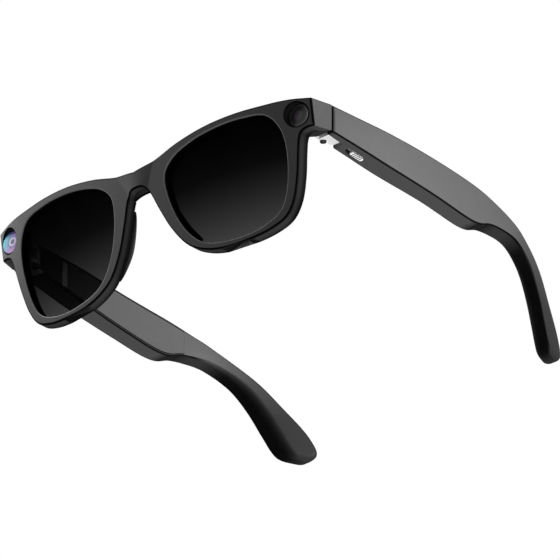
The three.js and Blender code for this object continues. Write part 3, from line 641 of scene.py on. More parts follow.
def make_front_shell():
    windows = [anticlockwise(circle(side * WINDOW_X, WINDOW_Z, WINDOW_HOLE_R)) for side in (LEFT, RIGHT)]
    lenses = [lens_loop, lens_mirror]
    radii = [EDGE_R, LENS_EDGE_R, LENS_EDGE_R]
    across = np.arange(*END_STEP_X, 0.8)
    step_lines = [
        np.column_stack([side * across, np.full(len(across), END_BOTTOM_Z + dz)])
        for side in (LEFT, RIGHT) for dz in (-END_STEP_Z / 2, 0, END_STEP_Z / 2)
    ]
    points, triangles, fall, mark, loops = region(
        outline, lenses + windows, radii + [HOLE_EDGE_R] * 2, creases(), light=(1, 2))
    rear = region(outline, lenses, [BACK_EDGE_R] * 3, step_lines)
    back_points, back_triangles, back_fall, back_mark, back_loops = rear
    front = np.column_stack([points[:, 0], face_y(*points.T) + fall, points[:, 1]])
    back_y = shell_back(*back_points.T) - back_fall
    x = back_points[:, 0]
    behind = np.clip((back_y - FLARE_FROM_Y) / (END_BACK_Y - FLARE_FROM_Y), 0, 1)
    outwards = np.clip((np.abs(x) - FLARE_FROM_X) / FLARE_SPAN, 0, 1)
    back = np.column_stack([
        x + np.sign(x) * END_FLARE * (behind * outwards), back_y, back_points[:, 1],
    ])
    count = len(front)
    total = count + len(back)
    vertices = [front, back]
    marks = [mark, back_mark]
    faces = [tuple(t) for t in triangles] + [tuple(t + count) for t in back_triangles]
    for loop, back_loop in zip(loops, back_loops):
        darkness = WALL_SHADE_MARKS if loop is loops[0] else HOLE_SHADE_MARKS
        numbers = [i + count for i in back_loop]
        wall_faces, rows, wall_marks = wall(
            front[loop], back[back_loop], loop, numbers, total, darkness)
        faces += wall_faces
        vertices.append(rows)
        marks.append(wall_marks)
        total += len(rows)
    for loop in loops[3:]:
        floor = front[loop].copy()
        floor[:, 1] = WINDOW_FLOOR_Y
        vertices += [floor, floor.mean(0)[None]]
        marks.append(np.zeros(len(floor) + 1))
        size = len(loop)
        for i in range(size):
            j = (i + 1) % size
            faces.append((loop[i], loop[j], total + j, total + i))
            faces.append((total + i, total + j, total + size))
        total += size + 1
    # Painted shade on the end pieces' undersides.
    ramp = (np.abs(back_points[:, 1] - END_BOTTOM_Z) < END_STEP_Z) & (np.abs(back_points[:, 0]) > 61)
    marks[1] = np.where(ramp, RAMP_SHADE_MARK, back_mark)
    shell = solid(np.vstack(vertices), faces, np.concatenate(marks))
    grooves = [plate(offset(loop, -GROOVE_REACH), [], GROOVE_FROM, COVER_FROM, 0) for loop in lenses]
    slots = [on_side(box(*HINGE_SLOT), side) for side in (LEFT, RIGHT)]
    below = box((-90, 90), (-20, 60), (REST_Z - 9, REST_Z))
    return cut(shell, *grooves, cover_plate(GAP), *slots, below)


def cover_plate(grow):
    """The rear cover's plate without its openings. Grow leaves room around it."""
    rims_only = mirror_half(np.vstack([
        top_half[top_half[:, 0] < COVER_END_X + 4], rim_half[rim_half[:, 1] < END_BOTTOM_Z - 3],
    ]))
    loop = offset(anticlockwise(spread(rims_only, RING_STEP, closed=True)), COVER_INSET + GAP - grow)
    holes = [] if grow else [offset(lens_loop, 0.3), offset(lens_mirror, 0.3)]
    cover = plate(loop, holes, COVER_FROM - grow, RIM_DEPTH + 10 * grow, 0 if grow else 0.25)
    reach = COVER_END_X + grow
    above = (END_BOTTOM_Z - 3 + grow, 20)
    blocks = [box(sorted((side * reach, side * 90)), (-20, 60), above) for side in (LEFT, RIGHT)]
    return cut(cover, *blocks)


def make_nose_pad():
    """Rings across the pad, from its top end to its bottom end, behind the nose side of the rim."""
    spine = spread(spline(PAD_SPINE, 12), 0.35)
    around = spline(PAD_SECTION, 4)
    along = np.linspace(0, 1, len(spine))
    ahead = np.gradient(spine, axis=0)
    ahead /= np.linalg.norm(ahead, axis=1)[:, None]
    rings = []
    for (x, z), (dx, dz), share in zip(spine, ahead, along):
        depth = PAD_EDGE + PAD_SWELL * math.sin(math.pi * share)
        end = 1 - PAD_END_TAPER * (2 * share - 1) ** 8
        across = np.where(around[:, 0] > 0, around[:, 0] * end, around[:, 0])
        px, pz = x + across * dz, z - across * dx
        y = face_y(px, pz) + RIM_DEPTH + GAP + around[:, 1] * depth
        rings.append(np.column_stack([px, y, pz]))
    return loft(rings)


# ---- Windows in the end pieces ----
def turned_in_window(profile, closed=False):
    """A solid turned about the left window's axis. The profile is (radius, depth behind the glass)."""
    rings = [(radius, WINDOW_Y + depth) for radius, depth in profile]
    return lathe(rings, (WINDOW_X, WINDOW_Z), closed=closed)


def make_window_glass():
    return turned_in_window(rounded_disc(WINDOW_GLASS_R, 0, WINDOW_GLASS_T))


def make_window_bezel():
    return turned_in_window([
        (2.9, 2), (2.9, 1.35), (3.05, 1.2), (3.4, 1.2), (3.5, 1.05), (4.1, 1), (4.25, 1.15), (4.25, 2),
    ], closed=True)


def make_camera_barrel():
    return turned_in_window([
        (0, 1.9), (0.7, 1.82), (1.2, 1.65), (1.25, 1.45), (1.7, 1.4), (1.75, 1.25), (2.35, 1.2),
        (2.5, 1.35), (2.5, 4.2), (0, 4.2),
    ])


def make_indicator_lamp():
    dome = [(1.5 * math.sin(t), 1.6 - 0.4 * math.cos(t)) for t in np.linspace(0, math.pi / 2, 7)]
    return turned_in_window([*dome, (1.6, 1.7), (1.9, 1.8), (1.9, 3.4), (0, 3.4)])


# ---- Hinge ----
def rod(axis, radius, low, high, centre, r=0.08, sides=48):
    return lathe(rounded_disc(radius, low, high, r), centre, axis, sides)


def hinge_barrel(low, high):
    return rod("z", BARREL_R, low, high, (HINGE_X, HINGE_Y))


def pin_hole():
    return rod("z", PIN_R + PIN_CLEARANCE, -20, 5, (HINGE_X, HINGE_Y))


def bar(x, y, z, r=0.12):
    """A block with chamfered edges."""
    obj = box(x, y, z)
    modifier = obj.modifiers.new("bevel", "BEVEL")
    modifier.width = r
    modifier.segments = 3
    return combine(obj, [], "UNION")


def make_front_leaf():
    leaf = bar((66.4, 69.9), (16.2, 17.6), (HINGE_BOTTOM_Z, HINGE_TOP_Z))
    knuckles = [(HINGE_BOTTOM_Z, HINGE_BOTTOM_Z + KNUCKLE_H), (HINGE_TOP_Z - KNUCKLE_H, HINGE_TOP_Z)]
    arms = [bar((67.1, 69.6), (17, HINGE_Y), z) for z in knuckles]
    return cut(joined(leaf, *arms, *[hinge_barrel(*z) for z in knuckles]), pin_hole())


def make_temple_leaf():
    leaf = bar((71.2, 72.9), (19, 25.8), (HINGE_BOTTOM_Z - 1.1, HINGE_TOP_Z - 0.1), 0.2)
    middle = (HINGE_BOTTOM_Z + KNUCKLE_H + GAP, HINGE_TOP_Z - KNUCKLE_H - GAP)
    arm = bar((HINGE_X, 71.4), (20.3, 22.7), middle)
    pin_room = rod("z", 1.6, -20, -5, (HINGE_X, HINGE_Y))
    notch = rod("z", 0.9, -20, HINGE_BOTTOM_Z, FOOT_NOTCH)
    foot = bar((68.6, 72.9), (19, 25.8), (HINGE_BOTTOM_Z - 1.1, HINGE_BOTTOM_Z - 0.4), 0.15)
    foot = cut(foot, pin_room, notch)
    holes = [rod("x", SCREW_HOLE_R, 60, 80, place, sides=32) for place in LEAF_SCREWS]
    return cut(joined(leaf, arm, foot, hinge_barrel(*middle)), pin_hole(), *holes)


def make_hinge_pin():
    profile = [
        (0, -11.6), (0.95, -11.6), (1.13, -11.52), (1.2, -11.35), (1.2, -10.6), (1.12, -10.5),
        (PIN_R, -10.5), (PIN_R, -3.25), (0.55, -3.1), (0, -3.1),
    ]
    pin = lathe(profile, (HINGE_X, HINGE_Y), "z")
    slot = box((HINGE_X - 0.9, HINGE_X + 0.9), (HINGE_Y - 0.13, HINGE_Y + 0.13), (-12, -11.25))
    return cut(pin, moved(slot, turned_about(HINGE_X, HINGE_Y, 0.6)))


def turned_about(x, y, angle):
    there, back = Matrix.Translation((x, y, 0)), Matrix.Translation((-x, -y, 0))
    return there @ Matrix.Rotation(angle, 4, "Z") @ back


def make_leaf_screw(place):
    profile = [
        (0, 70.2), (0.85, 70.22), (1, 70.35), (1, 70.8), (0.9, 70.9), (0.5, 71), (0.5, 74.75), (0.3, 74.9),
        (0, 74.9),
    ]
    return lathe(profile, place, "x", sides=32)


# ---- Temples ----
temple_top, temple_bottom = (spline(points, ROWS_PER_SPAN) for points in (TEMPLE_TOP, TEMPLE_BOTTOM))
outer_x = smooth_function(TEMPLE_OUTER)
inner_x = smooth_function(TEMPLE_INNER)
underside = smooth_function(TEMPLE_BOTTOM[:4])


def inner_corner(y):
    """Rounding of a temple's edges on the wearer's side."""
    return np.interp(y, [106, 136], [0.4, 3.1])


def outer_corner(y):
    return np.interp(y, [106, 136], [0.4, 0.8])


def small_corner(y):
    return 0.3


# Painted shade along a temple, by y: on its underside, and on its sides, darker towards the tip.
UNDERSIDE_SHADE = [
    (90, 0), (95, 0.95), (102, 0.95), (108, 0.6), (114, 0.55), (124, 0.97), (150, 0.97), (156, 0.7),
]
SIDE_SHADE = [(18, 0.16), (45, 0.04), (80, 0.08), (112, 0.08), (128, 0.42), (142, 0.7), (156, 0.74)]


def shade_along(y, table):
    """How much painted shade a temple gets at y."""
    return float(np.interp(y, *np.array(table).T))


def face_shares(fade, rows):
    """Places across a face: close to both edges, and evenly between."""
    return [fade, *np.linspace(0, 1, rows + 2)[1:-1], 1 - fade]


def temple_stations(ends):
    """Cuts across a temple, from front to tip, the first few round its front edge when ends is a radius.

    Each is its upper and lower point, how far its outline moves in, whether it's at the front, and the
    length that is left to the tip.
    """
    top, bottom = temple_top, temple_bottom
    lengths = np.linalg.norm(np.diff((top + bottom) / 2, axis=0), axis=1)
    left = [*np.cumsum(lengths[::-1])[::-1], 0]
    stations = []
    for turn in np.linspace(0, math.pi / 2, 6) if ends else [0]:
        ahead = ends * (1 - math.cos(turn))
        squeeze = ends * (1 - math.sin(turn))
        stations.append((top[0] + (ahead, 0), bottom[0] + (ahead, 0), squeeze, True, left[0]))
    stations += [(a, b, 0, False, to_tip) for a, b, to_tip in zip(top[1:], bottom[1:], left[1:])]
    return stations


def temple_section(y, half, corners, at_end, rows):
    """A temple's outline at y, and how dark its points are made.

    A point is (side, shift, height): side is 1 on the outer face and -1 on the inner one, and shift moves
    it along X.
    """
    plain, below = shade_along(y, SIDE_SHADE), shade_along(y, UNDERSIDE_SHADE)
    roundings = {side: min(float(corner(y)), half - 0.05) for side, corner in zip((1, -1), corners)}
    turns = np.linspace(0, math.pi / 2, CORNER_STEPS + 1)
    ring, mark = [], []
    for quarter, (side, end) in enumerate([(1, -1), (1, 1), (-1, 1), (-1, -1)]):
        corner = roundings[side]
        # Painted shade: a dark line along rounded edges that fades as they grow rounder, and the temple's
        # painted shade along y.
        line = 1 if at_end else min(max((LINE_GONE_R - corner) / LINE_FADE_R, 0), 1)
        for turn in turns if quarter % 2 == 0 else turns[::-1]:
            height = end * (half - corner + corner * math.cos(turn))
            ring.append((side, -side * corner * (1 - math.sin(turn)), height))
            blend = plain + (below - plain) * (math.cos(turn) if end < 0 else 0)
            mark.append(max(line, blend))
        if quarter in (0, 2):
            flat = half - corner
            for share in face_shares(min(WALL_FADE / max(flat, 0.1), 0.2), rows):
                ring.append((side, 0, end * flat * (1 - 2 * share)))
                mark.append(1 if at_end else plain)
        else:
            other = roundings[-side]
            for share in face_shares(0.03, 2):
                shift = side * (other * share - corner * (1 - share))
                ring.append((side * (1 - 2 * share), shift, end * half))
                mark.append(1 if at_end else (below if end < 0 else plain))
    return ring, mark


def temple_solid(
    inset=0, inner=inner_x, outer=outer_x, corners=(small_corner, small_corner), crown=0, ends=0, rows=4,
    shaded=False,
):
    """A solid along the temple between two faces x = f(y), its upper and lower edges moved in by inset.

    Corners are the roundings of the outer and the inner edges, crown is how far the sides fall towards
    them, and ends is the radius of the front edge, for a solid that thins towards the tip.
    """
    rings, marks = [], []
    for upper, lower, squeeze, at_end, to_tip in temple_stations(ends):
        full = np.linalg.norm(upper - lower)
        up = (upper - lower) / full
        centre = (upper + lower) / 2
        half = max(full / 2 - inset - squeeze, 0.2)
        thin = math.sqrt(1 - (1 - min((to_tip + 0.35) / TIP_R, 1)) ** 2) if ends else 1
        ring, mark = temple_section(centre[0], half, corners, at_end, rows)
        points = []
        for side, shift, height in ring:
            y, z = centre + height * up
            middle = (outer(y) + inner(y)) / 2
            reach = (outer(y) - inner(y)) / 2 - squeeze
            bulge = crown * (height / half) ** 2
            points.append((middle + thin * (side * (reach - bulge) + shift), y, z))
        rings.append(points)
        marks.append(mark)
    return loft(rings, marks if shaded else None)


def along_y(low, high):
    return box((50, 90), (low, high), (-60, 10))


def middle_x(y):
    return (inner_x(y) + outer_x(y)) / 2


def make_core_room(grow):
    """Room in the tip for the temple's core."""
    half = CORE_HALF_T + grow
    room = temple_strip(CORE_HEIGHT + 2 * grow, lambda y: middle_x(y) - half, lambda y: middle_x(y) + half)
    return kept(room, along_y(CORE_FROM_Y - 3 * grow, CORE_TO_Y + grow))


def temple_strip(height, inner, outer):
    """A bar of one height along the middle of the temple."""
    rings = []
    for a, b in zip(temple_top, temple_bottom):
        up = (a - b) / np.linalg.norm(a - b)
        low, high = (a + b) / 2 - up * height / 2, (a + b) / 2 + up * height / 2
        outer_side = [(outer(end[0]), *end) for end in (low, high)]
        inner_side = [(inner(end[0]), *end) for end in (high, low)]
        rings.append(outer_side + inner_side)
    return loft(rings)


def make_temple_cover(grow, through=0):
    """The cover on a temple's inner side. Through makes it stand out of the face, to cut its opening."""
    depth = COVER_T + (grow if through else 0)
    slab = temple_solid(
        inset=COVER_EDGE - grow,
        inner=lambda y: inner_x(y) - through,
        outer=lambda y: inner_x(y) + depth,
        shaded=True,
    )
    return kept(slab, along_y(COVER_FRONT_Y - grow, COVER_BACK_Y + grow))


def make_temple_shell(*extra_cuts):
    body = temple_solid(
        corners=(outer_corner, inner_corner), crown=SIDE_CROWN, ends=END_EDGE_R, rows=7, shaded=True)
    cavity = temple_solid(inset=WALL, inner=lambda y: inner_x(y) - 2, outer=lambda y: outer_x(y) - WALL)
    cavity = kept(cavity, along_y(CAVITY_FRONT_Y, CAVITY_BACK_Y))
    hinge_recess = box(HINGE_RECESS_X, HINGE_RECESS_Y, (-20, HINGE_TOP_Z + GAP))
    screw_holes = [rod("x", SCREW_HOLE_R, 72, 75.2, place, sides=32) for place in LEAF_SCREWS]
    outlet = box(*SPEAKER_OUTLET)
    port = rod("z", 0.5, -6, 0, MICROPHONE_PORT, sides=32)
    below = box((-90, 90), (-20, 170), (REST_Z - 9, REST_Z))
    rooms = [cavity, make_temple_cover(GAP, 2), make_core_room(GAP), hinge_recess]
    return cut(body, *rooms, *screw_holes, outlet, port, below, *extra_cuts)


def make_speaker_mesh():
    """A thin grille with rows of round holes."""
    grille = bar(*SPEAKER_GRILLE, 0.06)
    holes = [
        rod("z", 0.14, -6, -4, (73.97 + 0.46 * row, 84.8 + 0.58 * k + 0.25 * row), r=0.02, sides=12)
        for row in range(2) for k in range(12)
    ]
    return cut(grille, *holes)


def make_sensor_window(grow=0):
    back = float(inner_x(sum(SENSOR_Y) / 2)) + SENSOR_T + grow
    across, up = ((low - grow, high + grow) for low, high in (SENSOR_Y, SENSOR_Z))
    strip = box((60, back), across, up)
    return strip if grow else kept(strip, temple_solid())


# ---- Switch and button ----
def pill(length, width, low, high, r_low=0, r_high=0):
    """A bar with half-round ends, its length along Y, with rounded lower and upper edges."""
    radius = width / 2
    turns = np.linspace(0, math.pi, 25)
    ends = [np.column_stack([np.cos(turns + base), np.sin(turns + base)]) for base in (0, math.pi)]
    straight = length / 2 - radius
    quarter = [(1 - math.sin(t), 1 - math.cos(t)) for t in np.linspace(0, math.pi / 2, 5)]
    levels = [(low + r_low * fall, r_low * squeeze) for fall, squeeze in reversed(quarter)]
    levels += [(high - r_high * fall, r_high * squeeze) for fall, squeeze in quarter]
    rings = []
    for z, squeeze in dict.fromkeys(levels):
        loop = np.vstack([e * (radius - squeeze) + (0, s * straight) for e, s in zip(ends, (1, -1))])
        rings.append(np.column_stack([loop, np.full(len(loop), z)]))
    return loft(rings)


def on_underside(obj):
    (y0, z0), (y1, z1) = TEMPLE_BOTTOM[0], TEMPLE_BOTTOM[2]
    place = Matrix.Translation((SWITCH_X, SWITCH_Y, float(underside(SWITCH_Y))))
    return moved(obj, place @ Matrix.Rotation(math.atan2(z1 - z0, y1 - y0), 4, "X"))


def make_switch_slot():
    return on_underside(pill(KNOB_LENGTH + SWITCH_TRAVEL + 0.6, KNOB_WIDTH + 0.6, -2, 3))


def make_switch_knob():
    cap = pill(KNOB_LENGTH, KNOB_WIDTH, -0.35, 2, r_low=0.25)
    grooves = [
        moved(rod("x", KNOB_GROOVE_R, -2, 2, (0, 0), sides=24), Matrix.Translation((0, y, KNOB_GROOVE_Z)))
        for y in KNOB_GROOVES
    ]
    flange = bar((-1.7, 1.7), (-3.6, 3.6), (1.7, 2.2))
    knob = joined(cut(cap, *grooves), flange)
    # The flange is made black, and the grooves' walls get painted shade.
    points = np.array([tuple(v.co) for v in knob.data.vertices])
    flange_part = np.abs(points[:, 1]) > KNOB_LENGTH / 2 + 0.2
    in_groove = (np.abs(points[:, 1]) < 2.2) & (np.abs(points[:, 2] + 0.2) < 0.13)
    edge_marks[knob.name] = (points, flange_part | in_groove)
    return on_underside(moved(knob, Matrix.Translation((0, SWITCH_TRAVEL / 2, 0))))


def at_button(obj):
    return moved(obj, Matrix.Translation((BUTTON_X, BUTTON_Y, TEMPLE_TOP[1][1])))


def make_capture_button():
    cap = pill(BUTTON_LENGTH, BUTTON_WIDTH, -2, BUTTON_PROUD, r_high=0.35)
    return at_button(joined(cap, bar((-1.8, 1.8), (-5.6, 5.6), (-2, -1.6))))


def make_button_slot():
    return at_button(pill(BUTTON_LENGTH + 0.7, BUTTON_WIDTH + 0.7, -3, 3))


# ---- Materials ----
class Nodes:
    """A material's node tree, with short ways to add nodes and links."""

    def __init__(self, name):
        self.material = bpy.data.materials.new(name)
        self.material.use_nodes = True
        self.tree = self.material.node_tree
        self.surface = self.tree.nodes["Principled BSDF"]
        self.place = self.add("ShaderNodeTexCoord").outputs["Object"]

    def add(self, kind, **values):
        node = self.tree.nodes.new(kind)
        for key, value in values.items():
            setattr(node, key, value)
        return node

    def link(self, source, target):
        self.tree.links.new(source, target)

    def noise(self, scale, detail=3.0):
        node = self.add("ShaderNodeTexNoise")
        node.inputs["Scale"].default_value = scale
        node.inputs["Detail"].default_value = detail
        self.link(self.place, node.inputs["Vector"])
        return node.outputs["Fac"]

    def ramp(self, source, stops):
        """Colours along a 0 to 1 input. Stops are (place, (r, g, b))."""
        node = self.add("ShaderNodeValToRGB")
        elements = node.color_ramp.elements
        while len(elements) < len(stops):
            elements.new(0.5)
        for element, (place, colour) in zip(elements, stops):
            element.position = place
            element.color = (*colour, 1)
        self.link(source, node.inputs["Fac"])
        return node.outputs["Color"]

    def spread(self, source, low, high, to_low, to_high):
        node = self.add("ShaderNodeMapRange")
        sockets = {"From Min": low, "From Max": high, "To Min": to_low, "To Max": to_high}
        for socket, value in sockets.items():
            node.inputs[socket].default_value = value
        self.link(source, node.inputs["Value"])
        return node.outputs["Result"]

    def along(self, piece, axis):
        """0 at a CAD piece's low side along an axis, 1 at its high side."""
        low, high = (getattr(corner, axis.lower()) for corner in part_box(piece))
        split = self.add("ShaderNodeSeparateXYZ")
        self.link(self.place, split.inputs[0])
        return self.spread(split.outputs[axis], low, high, 0, 1)

    def away_from(self, piece, shift=0):
        """0 at the middle of a round CAD piece, or shift mm beside it, and 1 a radius further out."""
        low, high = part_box(piece)
        away = self.add("ShaderNodeVectorMath", operation="DISTANCE")
        self.link(self.place, away.inputs[0])
        away.inputs[1].default_value = (low + high) / 2 + Vector((shift * MM, 0, 0))
        return self.spread(away.outputs["Value"], 0, (high.x - low.x) / 2, 0, 1)

    def mix(self, share, first, second):
        node = self.add("ShaderNodeMix", data_type="RGBA")
        for socket, source in zip((0, 6, 7), (share, first, second)):
            self.link(source, node.inputs[socket])
        return node.outputs[2]

    def paint(self, colour):
        self.link(colour, self.surface.inputs["Base Color"])

    def bump(self, source, height):
        node = self.add("ShaderNodeBump")
        node.inputs["Strength"].default_value = 1.0
        node.inputs["Distance"].default_value = height
        self.link(source, node.inputs["Height"])
        self.link(node.outputs["Normal"], self.surface.inputs["Normal"])


def surface(name, dark, light, rough, scale=400.0, metallic=0.0, bump=0.0, specular=0.5):
    """A finish whose colour and gloss vary finely from place to place."""
    n = Nodes(name)
    grain = n.noise(scale)
    n.paint(n.ramp(grain, [(0.35, dark), (0.65, light)]))
    n.link(n.spread(n.noise(scale * 0.37), 0.3, 0.7, *rough), n.surface.inputs["Roughness"])
    n.surface.inputs["Metallic"].default_value = metallic
    n.surface.inputs["Specular IOR Level"].default_value = specular
    if bump:
        n.bump(n.noise(scale * 4), bump)
    return n


def grey(value):
    return (value, value, value)


def frame_plastic():
    """Satin black plastic, with painted shade in the dark lines that run along its rounded edges and on
    its walls, and a painted highlight on the lens openings' bevels.
    """
    specular = 0.35
    n = surface("frame_plastic", *PLASTIC_GREYS, (0.52, 0.55), 900.0, bump=0.0000008, specular=specular)
    paint_shade_and_highlight(n, specular)
    return n.material


def switch_plastic():
    """White plastic, with a black flange inside the slot and painted shade in its grooves."""
    n = surface("switch_knob", grey(0.82), grey(0.88), (0.3, 0.4), 600.0, bump=0.000002)
    paint_shade_and_highlight(n, 0.5)
    return n.material


def paint_shade_and_highlight(n, specular):
    """Painted shade and painted highlight: turns a finish black and dull where its piece's edge values are
    high, and pale where they're low.
    """
    colour = n.surface.inputs["Base Color"].links[0].from_socket
    edge = n.add("ShaderNodeAttribute", attribute_name="edge").outputs["Fac"]
    shades = [
        (n.spread(edge, 0, 1, 0, 1), [(0.3, grey(0.0005)), (0.7, grey(0.0015))]),
        (n.spread(edge, -1, 0, 1, 0), [(0.3, grey(0.11)), (0.7, grey(0.13))]),
    ]
    for share, stops in shades:
        colour = n.mix(share, colour, n.ramp(n.noise(700.0), stops))
    n.paint(colour)
    n.link(n.spread(edge, 0, 1, specular, 0.02), n.surface.inputs["Specular IOR Level"])


def tinted_lens():
    """Dark tinted lens, a little clearer towards its lower edge."""
    n = surface("tinted_lens", grey(0.001), grey(0.002), (0.12, 0.16), scale=60.0, specular=0.004)
    n.surface.inputs["IOR"].default_value = 1.03
    n.link(n.ramp(n.along("lens_left", "Z"), LENS_ALPHA), n.surface.inputs["Alpha"])
    return n.material


def camera_glass():
    """Coated glass with painted coloured reflections of its coating, blue-green to lilac across and pink
    at the lower edge, and grey rings in the middle with a pale painted highlight ring.
    """
    n = surface("camera_glass", grey(0.2), grey(0.24), (0.25, 0.35), scale=300.0, specular=0.1)
    across, up = (n.along("camera_window", axis) for axis in "XZ")
    lower, upper = (n.ramp(across, stops) for stops in (COATING_REFLECTION_BELOW, COATING_REFLECTION_ACROSS))
    coating_reflection = n.mix(n.spread(up, 0.1, 0.55, 0, 1), lower, upper)
    away = n.away_from("camera_window", PUPIL_SHIFT)
    n.paint(n.mix(n.ramp(away, RING_SHARE), coating_reflection, n.ramp(away, RING_GREYS_AND_HIGHLIGHT)))
    return n.material


def indicator_glass():
    """Smoked glass with a paler ring round a small grey centre."""
    n = surface("indicator_glass", grey(0.02), grey(0.03), (0.4, 0.5), scale=300.0, specular=0.2)
    n.paint(n.ramp(n.away_from("indicator_window"), INDICATOR_RINGS))
    return n.material


PLASTIC_GREYS = grey(0.0355), grey(0.0375)
LENS_ALPHA = [(0.0, grey(0.77)), (0.3, grey(0.86)), (0.6, grey(0.95)), (1.0, grey(0.997))]
# Painted coloured reflections of the camera glass's coating, and its rings with a pale painted highlight
# ring.
COATING_REFLECTION_ACROSS = [
    (0.0, (0.04, 0.44, 0.48)), (0.25, (0.07, 0.42, 0.56)), (0.45, (0.12, 0.18, 0.45)),
    (0.7, (0.32, 0.16, 0.6)), (1.0, (0.4, 0.17, 0.62)),
]
COATING_REFLECTION_BELOW = [(0.0, (0.25, 0.38, 0.6)), (0.4, (0.5, 0.35, 0.62)), (1.0, (0.62, 0.2, 0.48))]
RING_GREYS_AND_HIGHLIGHT = [
    (0.0, (0.07, 0.08, 0.12)), (0.22, (0.1, 0.11, 0.17)), (0.28, (0.6, 0.56, 0.72)),
    (0.4, (0.68, 0.6, 0.8)), (0.47, (0.08, 0.1, 0.25)), (0.58, (0.1, 0.16, 0.35)),
    (0.63, (0.3, 0.34, 0.5)), (0.69, (0.1, 0.12, 0.25)),
]
RING_SHARE = [(0.0, grey(1.0)), (0.26, grey(1.0)), (0.34, grey(0.8)), (0.6, grey(0.5)), (0.74, grey(0.0))]
PUPIL_SHIFT = 0.6
INDICATOR_RINGS = [
    (0.0, (0.07, 0.055, 0.075)), (0.42, (0.06, 0.05, 0.065)), (0.5, (0.015, 0.015, 0.016)),
    (0.8, (0.02, 0.02, 0.02)), (0.9, (0.06, 0.06, 0.06)),
]

# Finishes with only fine grain: dark and light colour, range of roughness, the grain's scale, how
# metallic they are, and the height of their bumps.
plain_finishes = {
    "nose_pad": surface("nose_pad", grey(0.008), grey(0.01), (0.4, 0.45), 700.0, bump=1e-6, specular=0.25),
    "black_metal": surface("black_metal", grey(0.02), grey(0.03), (0.3, 0.45), 600.0, 0.6, 3e-6),
    "speaker_mesh": surface("speaker_mesh", grey(0.04), grey(0.07), (0.35, 0.5), 2500.0, 0.9, 5e-6),
    "steel": surface("steel", grey(0.8), grey(0.88), (0.3, 0.4), 500.0, 0.3, 2e-6),
    "battery_foil": surface("battery_foil", grey(0.45), grey(0.6), (0.3, 0.45), 300.0, 0.8, 1e-5),
    "circuit_board": surface(
        "circuit_board", (0.004, 0.05, 0.02), (0.012, 0.1, 0.04), (0.35, 0.5), 900.0, bump=1e-5),
    "flex_film": surface("flex_film", (0.3, 0.12, 0.01), (0.42, 0.2, 0.03), (0.3, 0.4), 500.0, bump=4e-6),
    "lamp_lens": surface("lamp_lens", grey(0.75), grey(0.85), (0.15, 0.25), 500.0, bump=3e-6),
    "sensor_window": surface("sensor_window", grey(0.3), grey(0.36), (0.3, 0.4), 500.0, bump=3e-6),
}
finishes = {name: nodes.material for name, nodes in plain_finishes.items()} | {
    "frame_plastic": frame_plastic(),
    "tinted_lens": tinted_lens(),
    "camera_glass": camera_glass(),
    "indicator_glass": indicator_glass(),
    "switch_knob": switch_plastic(),
}


# ---- Assembly ----
def add(obj, name, body, slot, sharp=38):
    return finish_piece(obj, name + "_look", body, finishes[slot], [name], sharp)


add(make_front_shell(), "front_shell", "front", "frame_plastic")
add(cover_plate(0), "rear_cover", "front", "frame_plastic")
for side_name, side in SIDES.items():
    temple = "temple_" + side_name
    lens = plate(offset(lens_loop, -LENS_REACH), [], LENS_FROM, LENS_TO, 0.15)
    add(on_side(lens, side), "lens_" + side_name, "front", "tinted_lens")
    add(on_side(make_nose_pad(), side), "nose_pad_" + side_name, "front", "nose_pad", sharp=75)
    add(on_side(make_front_leaf(), side), "hinge_front_leaf_" + side_name, "front", "steel")
    add(on_side(make_temple_leaf(), side), "hinge_temple_leaf_" + side_name, temple, "steel")
    # The pin is made black metal, as painted shade for the shaded side of its head.
    add(on_side(make_hinge_pin(), side), "hinge_pin_" + side_name, "front", "black_metal")
    for number, place in enumerate(LEAF_SCREWS, 1):
        add(on_side(make_leaf_screw(place), side), f"leaf_screw_{number}_{side_name}", temple, "steel")
    add(on_side(make_speaker_mesh(), side), "speaker_mesh_" + side_name, temple, "speaker_mesh")

add(make_window_glass(), "indicator_window", "front", "indicator_glass")
add(on_side(make_window_glass(), RIGHT), "camera_window", "front", "camera_glass")
add(make_window_bezel(), "indicator_bezel", "front", "black_metal")
add(on_side(make_window_bezel(), RIGHT), "camera_bezel", "front", "black_metal")
add(on_side(make_camera_barrel(), RIGHT), "camera_barrel", "front", "black_metal")
add(make_indicator_lamp(), "indicator_lamp", "front", "lamp_lens")

add(make_temple_shell(make_switch_slot()), "temple_shell_left", "temple_left", "frame_plastic")
right_cuts = (make_button_slot(), make_sensor_window(GAP))
add(on_side(make_temple_shell(*right_cuts), RIGHT), "temple_shell_right", "temple_right", "frame_plastic")
left_cover = cut(make_temple_cover(SEAM_GROW), make_switch_slot())
add(left_cover, "temple_cover_left", "temple_left", "frame_plastic")
right_cover = cut(make_temple_cover(SEAM_GROW), make_button_slot(), make_sensor_window(GAP))
add(on_side(right_cover, RIGHT), "temple_cover_right", "temple_right", "frame_plastic")
add(on_side(make_sensor_window(), RIGHT), "wear_sensor_window", "temple_right", "sensor_window")
add(make_switch_knob(), "power_switch_knob", "power_switch", "switch_knob")
add(on_side(make_capture_button(), RIGHT), "capture_button", "capture_button", "frame_plastic")

for part in frame["record"]["subparts"]:
    node = frame["nodes"].get(part["node"])
    if node and not node.hide_render:
        node.data.materials.clear()
        node.data.materials.append(finishes[part["material_slot"]])


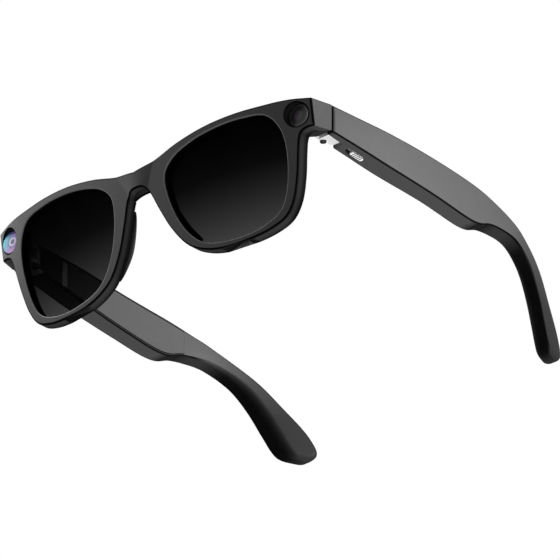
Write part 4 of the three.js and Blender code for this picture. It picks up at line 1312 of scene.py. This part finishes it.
# ---- Studio ----
def studio_world(ambient):
    """An even pale surround: white to the camera, soft fill to everything else."""
    world = bpy.data.worlds.new("studio")
    bpy.context.scene.world = world
    world.use_nodes = True
    tree = world.node_tree
    tree.nodes.clear()
    output = tree.nodes.new("ShaderNodeOutputWorld")
    mix = tree.nodes.new("ShaderNodeMixShader")
    rays = tree.nodes.new("ShaderNodeLightPath")
    tree.links.new(rays.outputs["Is Camera Ray"], mix.inputs[0])
    for socket, strength in ((1, ambient), (2, 1)):
        light = tree.nodes.new("ShaderNodeBackground")
        light.inputs["Color"].default_value = (1, 1, 1, 1)
        light.inputs["Strength"].default_value = strength
        tree.links.new(light.outputs[0], mix.inputs[socket])
    tree.links.new(mix.outputs[0], output.inputs[0])


def soft_light(name, direction, power, size, distance=1.2):
    """A large square light that faces the part from a direction."""
    data = bpy.data.lights.new(name, "AREA")
    data.energy = power
    data.size = size
    light = placed(name, data)
    away = Vector(direction).normalized()
    light.location = cad_middle + away * distance
    light.rotation_euler = away.to_track_quat("Z", "Y").to_euler()
    return light


def studio_floor(height):
    mesh = bpy.data.meshes.new("floor")
    half = 3
    corners = [(-half, -half), (half, -half), (half, half), (-half, half)]
    mesh.from_pydata([(x, y, height) for x, y in corners], [], [(0, 1, 2, 3)])
    floor = placed("floor", mesh)
    paint = surface("floor_paint", grey(0.78), grey(0.8), (0.8, 0.9), 3.0)
    paint.surface.inputs["Emission Color"].default_value = (1, 1, 1, 1)
    paint.surface.inputs["Emission Strength"].default_value = FLOOR_GLOW
    mesh.materials.append(paint.material)


def studio_camera():
    """Below the front, looking up and back at the part."""
    azimuth, elevation, roll = (math.radians(angle) for angle in CAMERA_TURN)
    level = math.cos(elevation)
    back = Vector((math.sin(azimuth) * level, -math.cos(azimuth) * level, math.sin(elevation)))
    data = bpy.data.cameras.new("camera")
    data.lens = CAMERA_LENS
    data.clip_end = 20
    camera = placed("camera", data)
    camera.location = Vector(CAMERA_AIM) + back * CAMERA_DISTANCE
    turn = (-back).to_track_quat("-Z", "Y") @ Matrix.Rotation(roll, 4, "Z").to_quaternion()
    camera.rotation_euler = turn.to_euler()
    bpy.context.scene.camera = camera


CAMERA_AIM = (-0.00053956, -0.00205484, 0.02450104)
CAMERA_DISTANCE, CAMERA_LENS = 2.92914, 534.087
CAMERA_TURN = (42.138, -27.826, -0.2394)  # azimuth, elevation, roll
FLOOR_HEIGHT, FLOOR_GLOW = -4.2, 0.45
cad_middle = (Vector(cad_box[0]) + Vector(cad_box[1])) / 2

studio_world(0.3)
soft_light("key", (0.9, 0.35, 0.15), 31, 1.0)
soft_light("front_fill", (-0.75, -0.45, 0.7), 1.5, 0.25, distance=0.33)
soft_light("under_fill", (0.25, 0.3, -0.9), 14, 1.2)
studio_floor(FLOOR_HEIGHT)
studio_camera()
bpy.context.scene.view_settings.view_transform = "Standard"
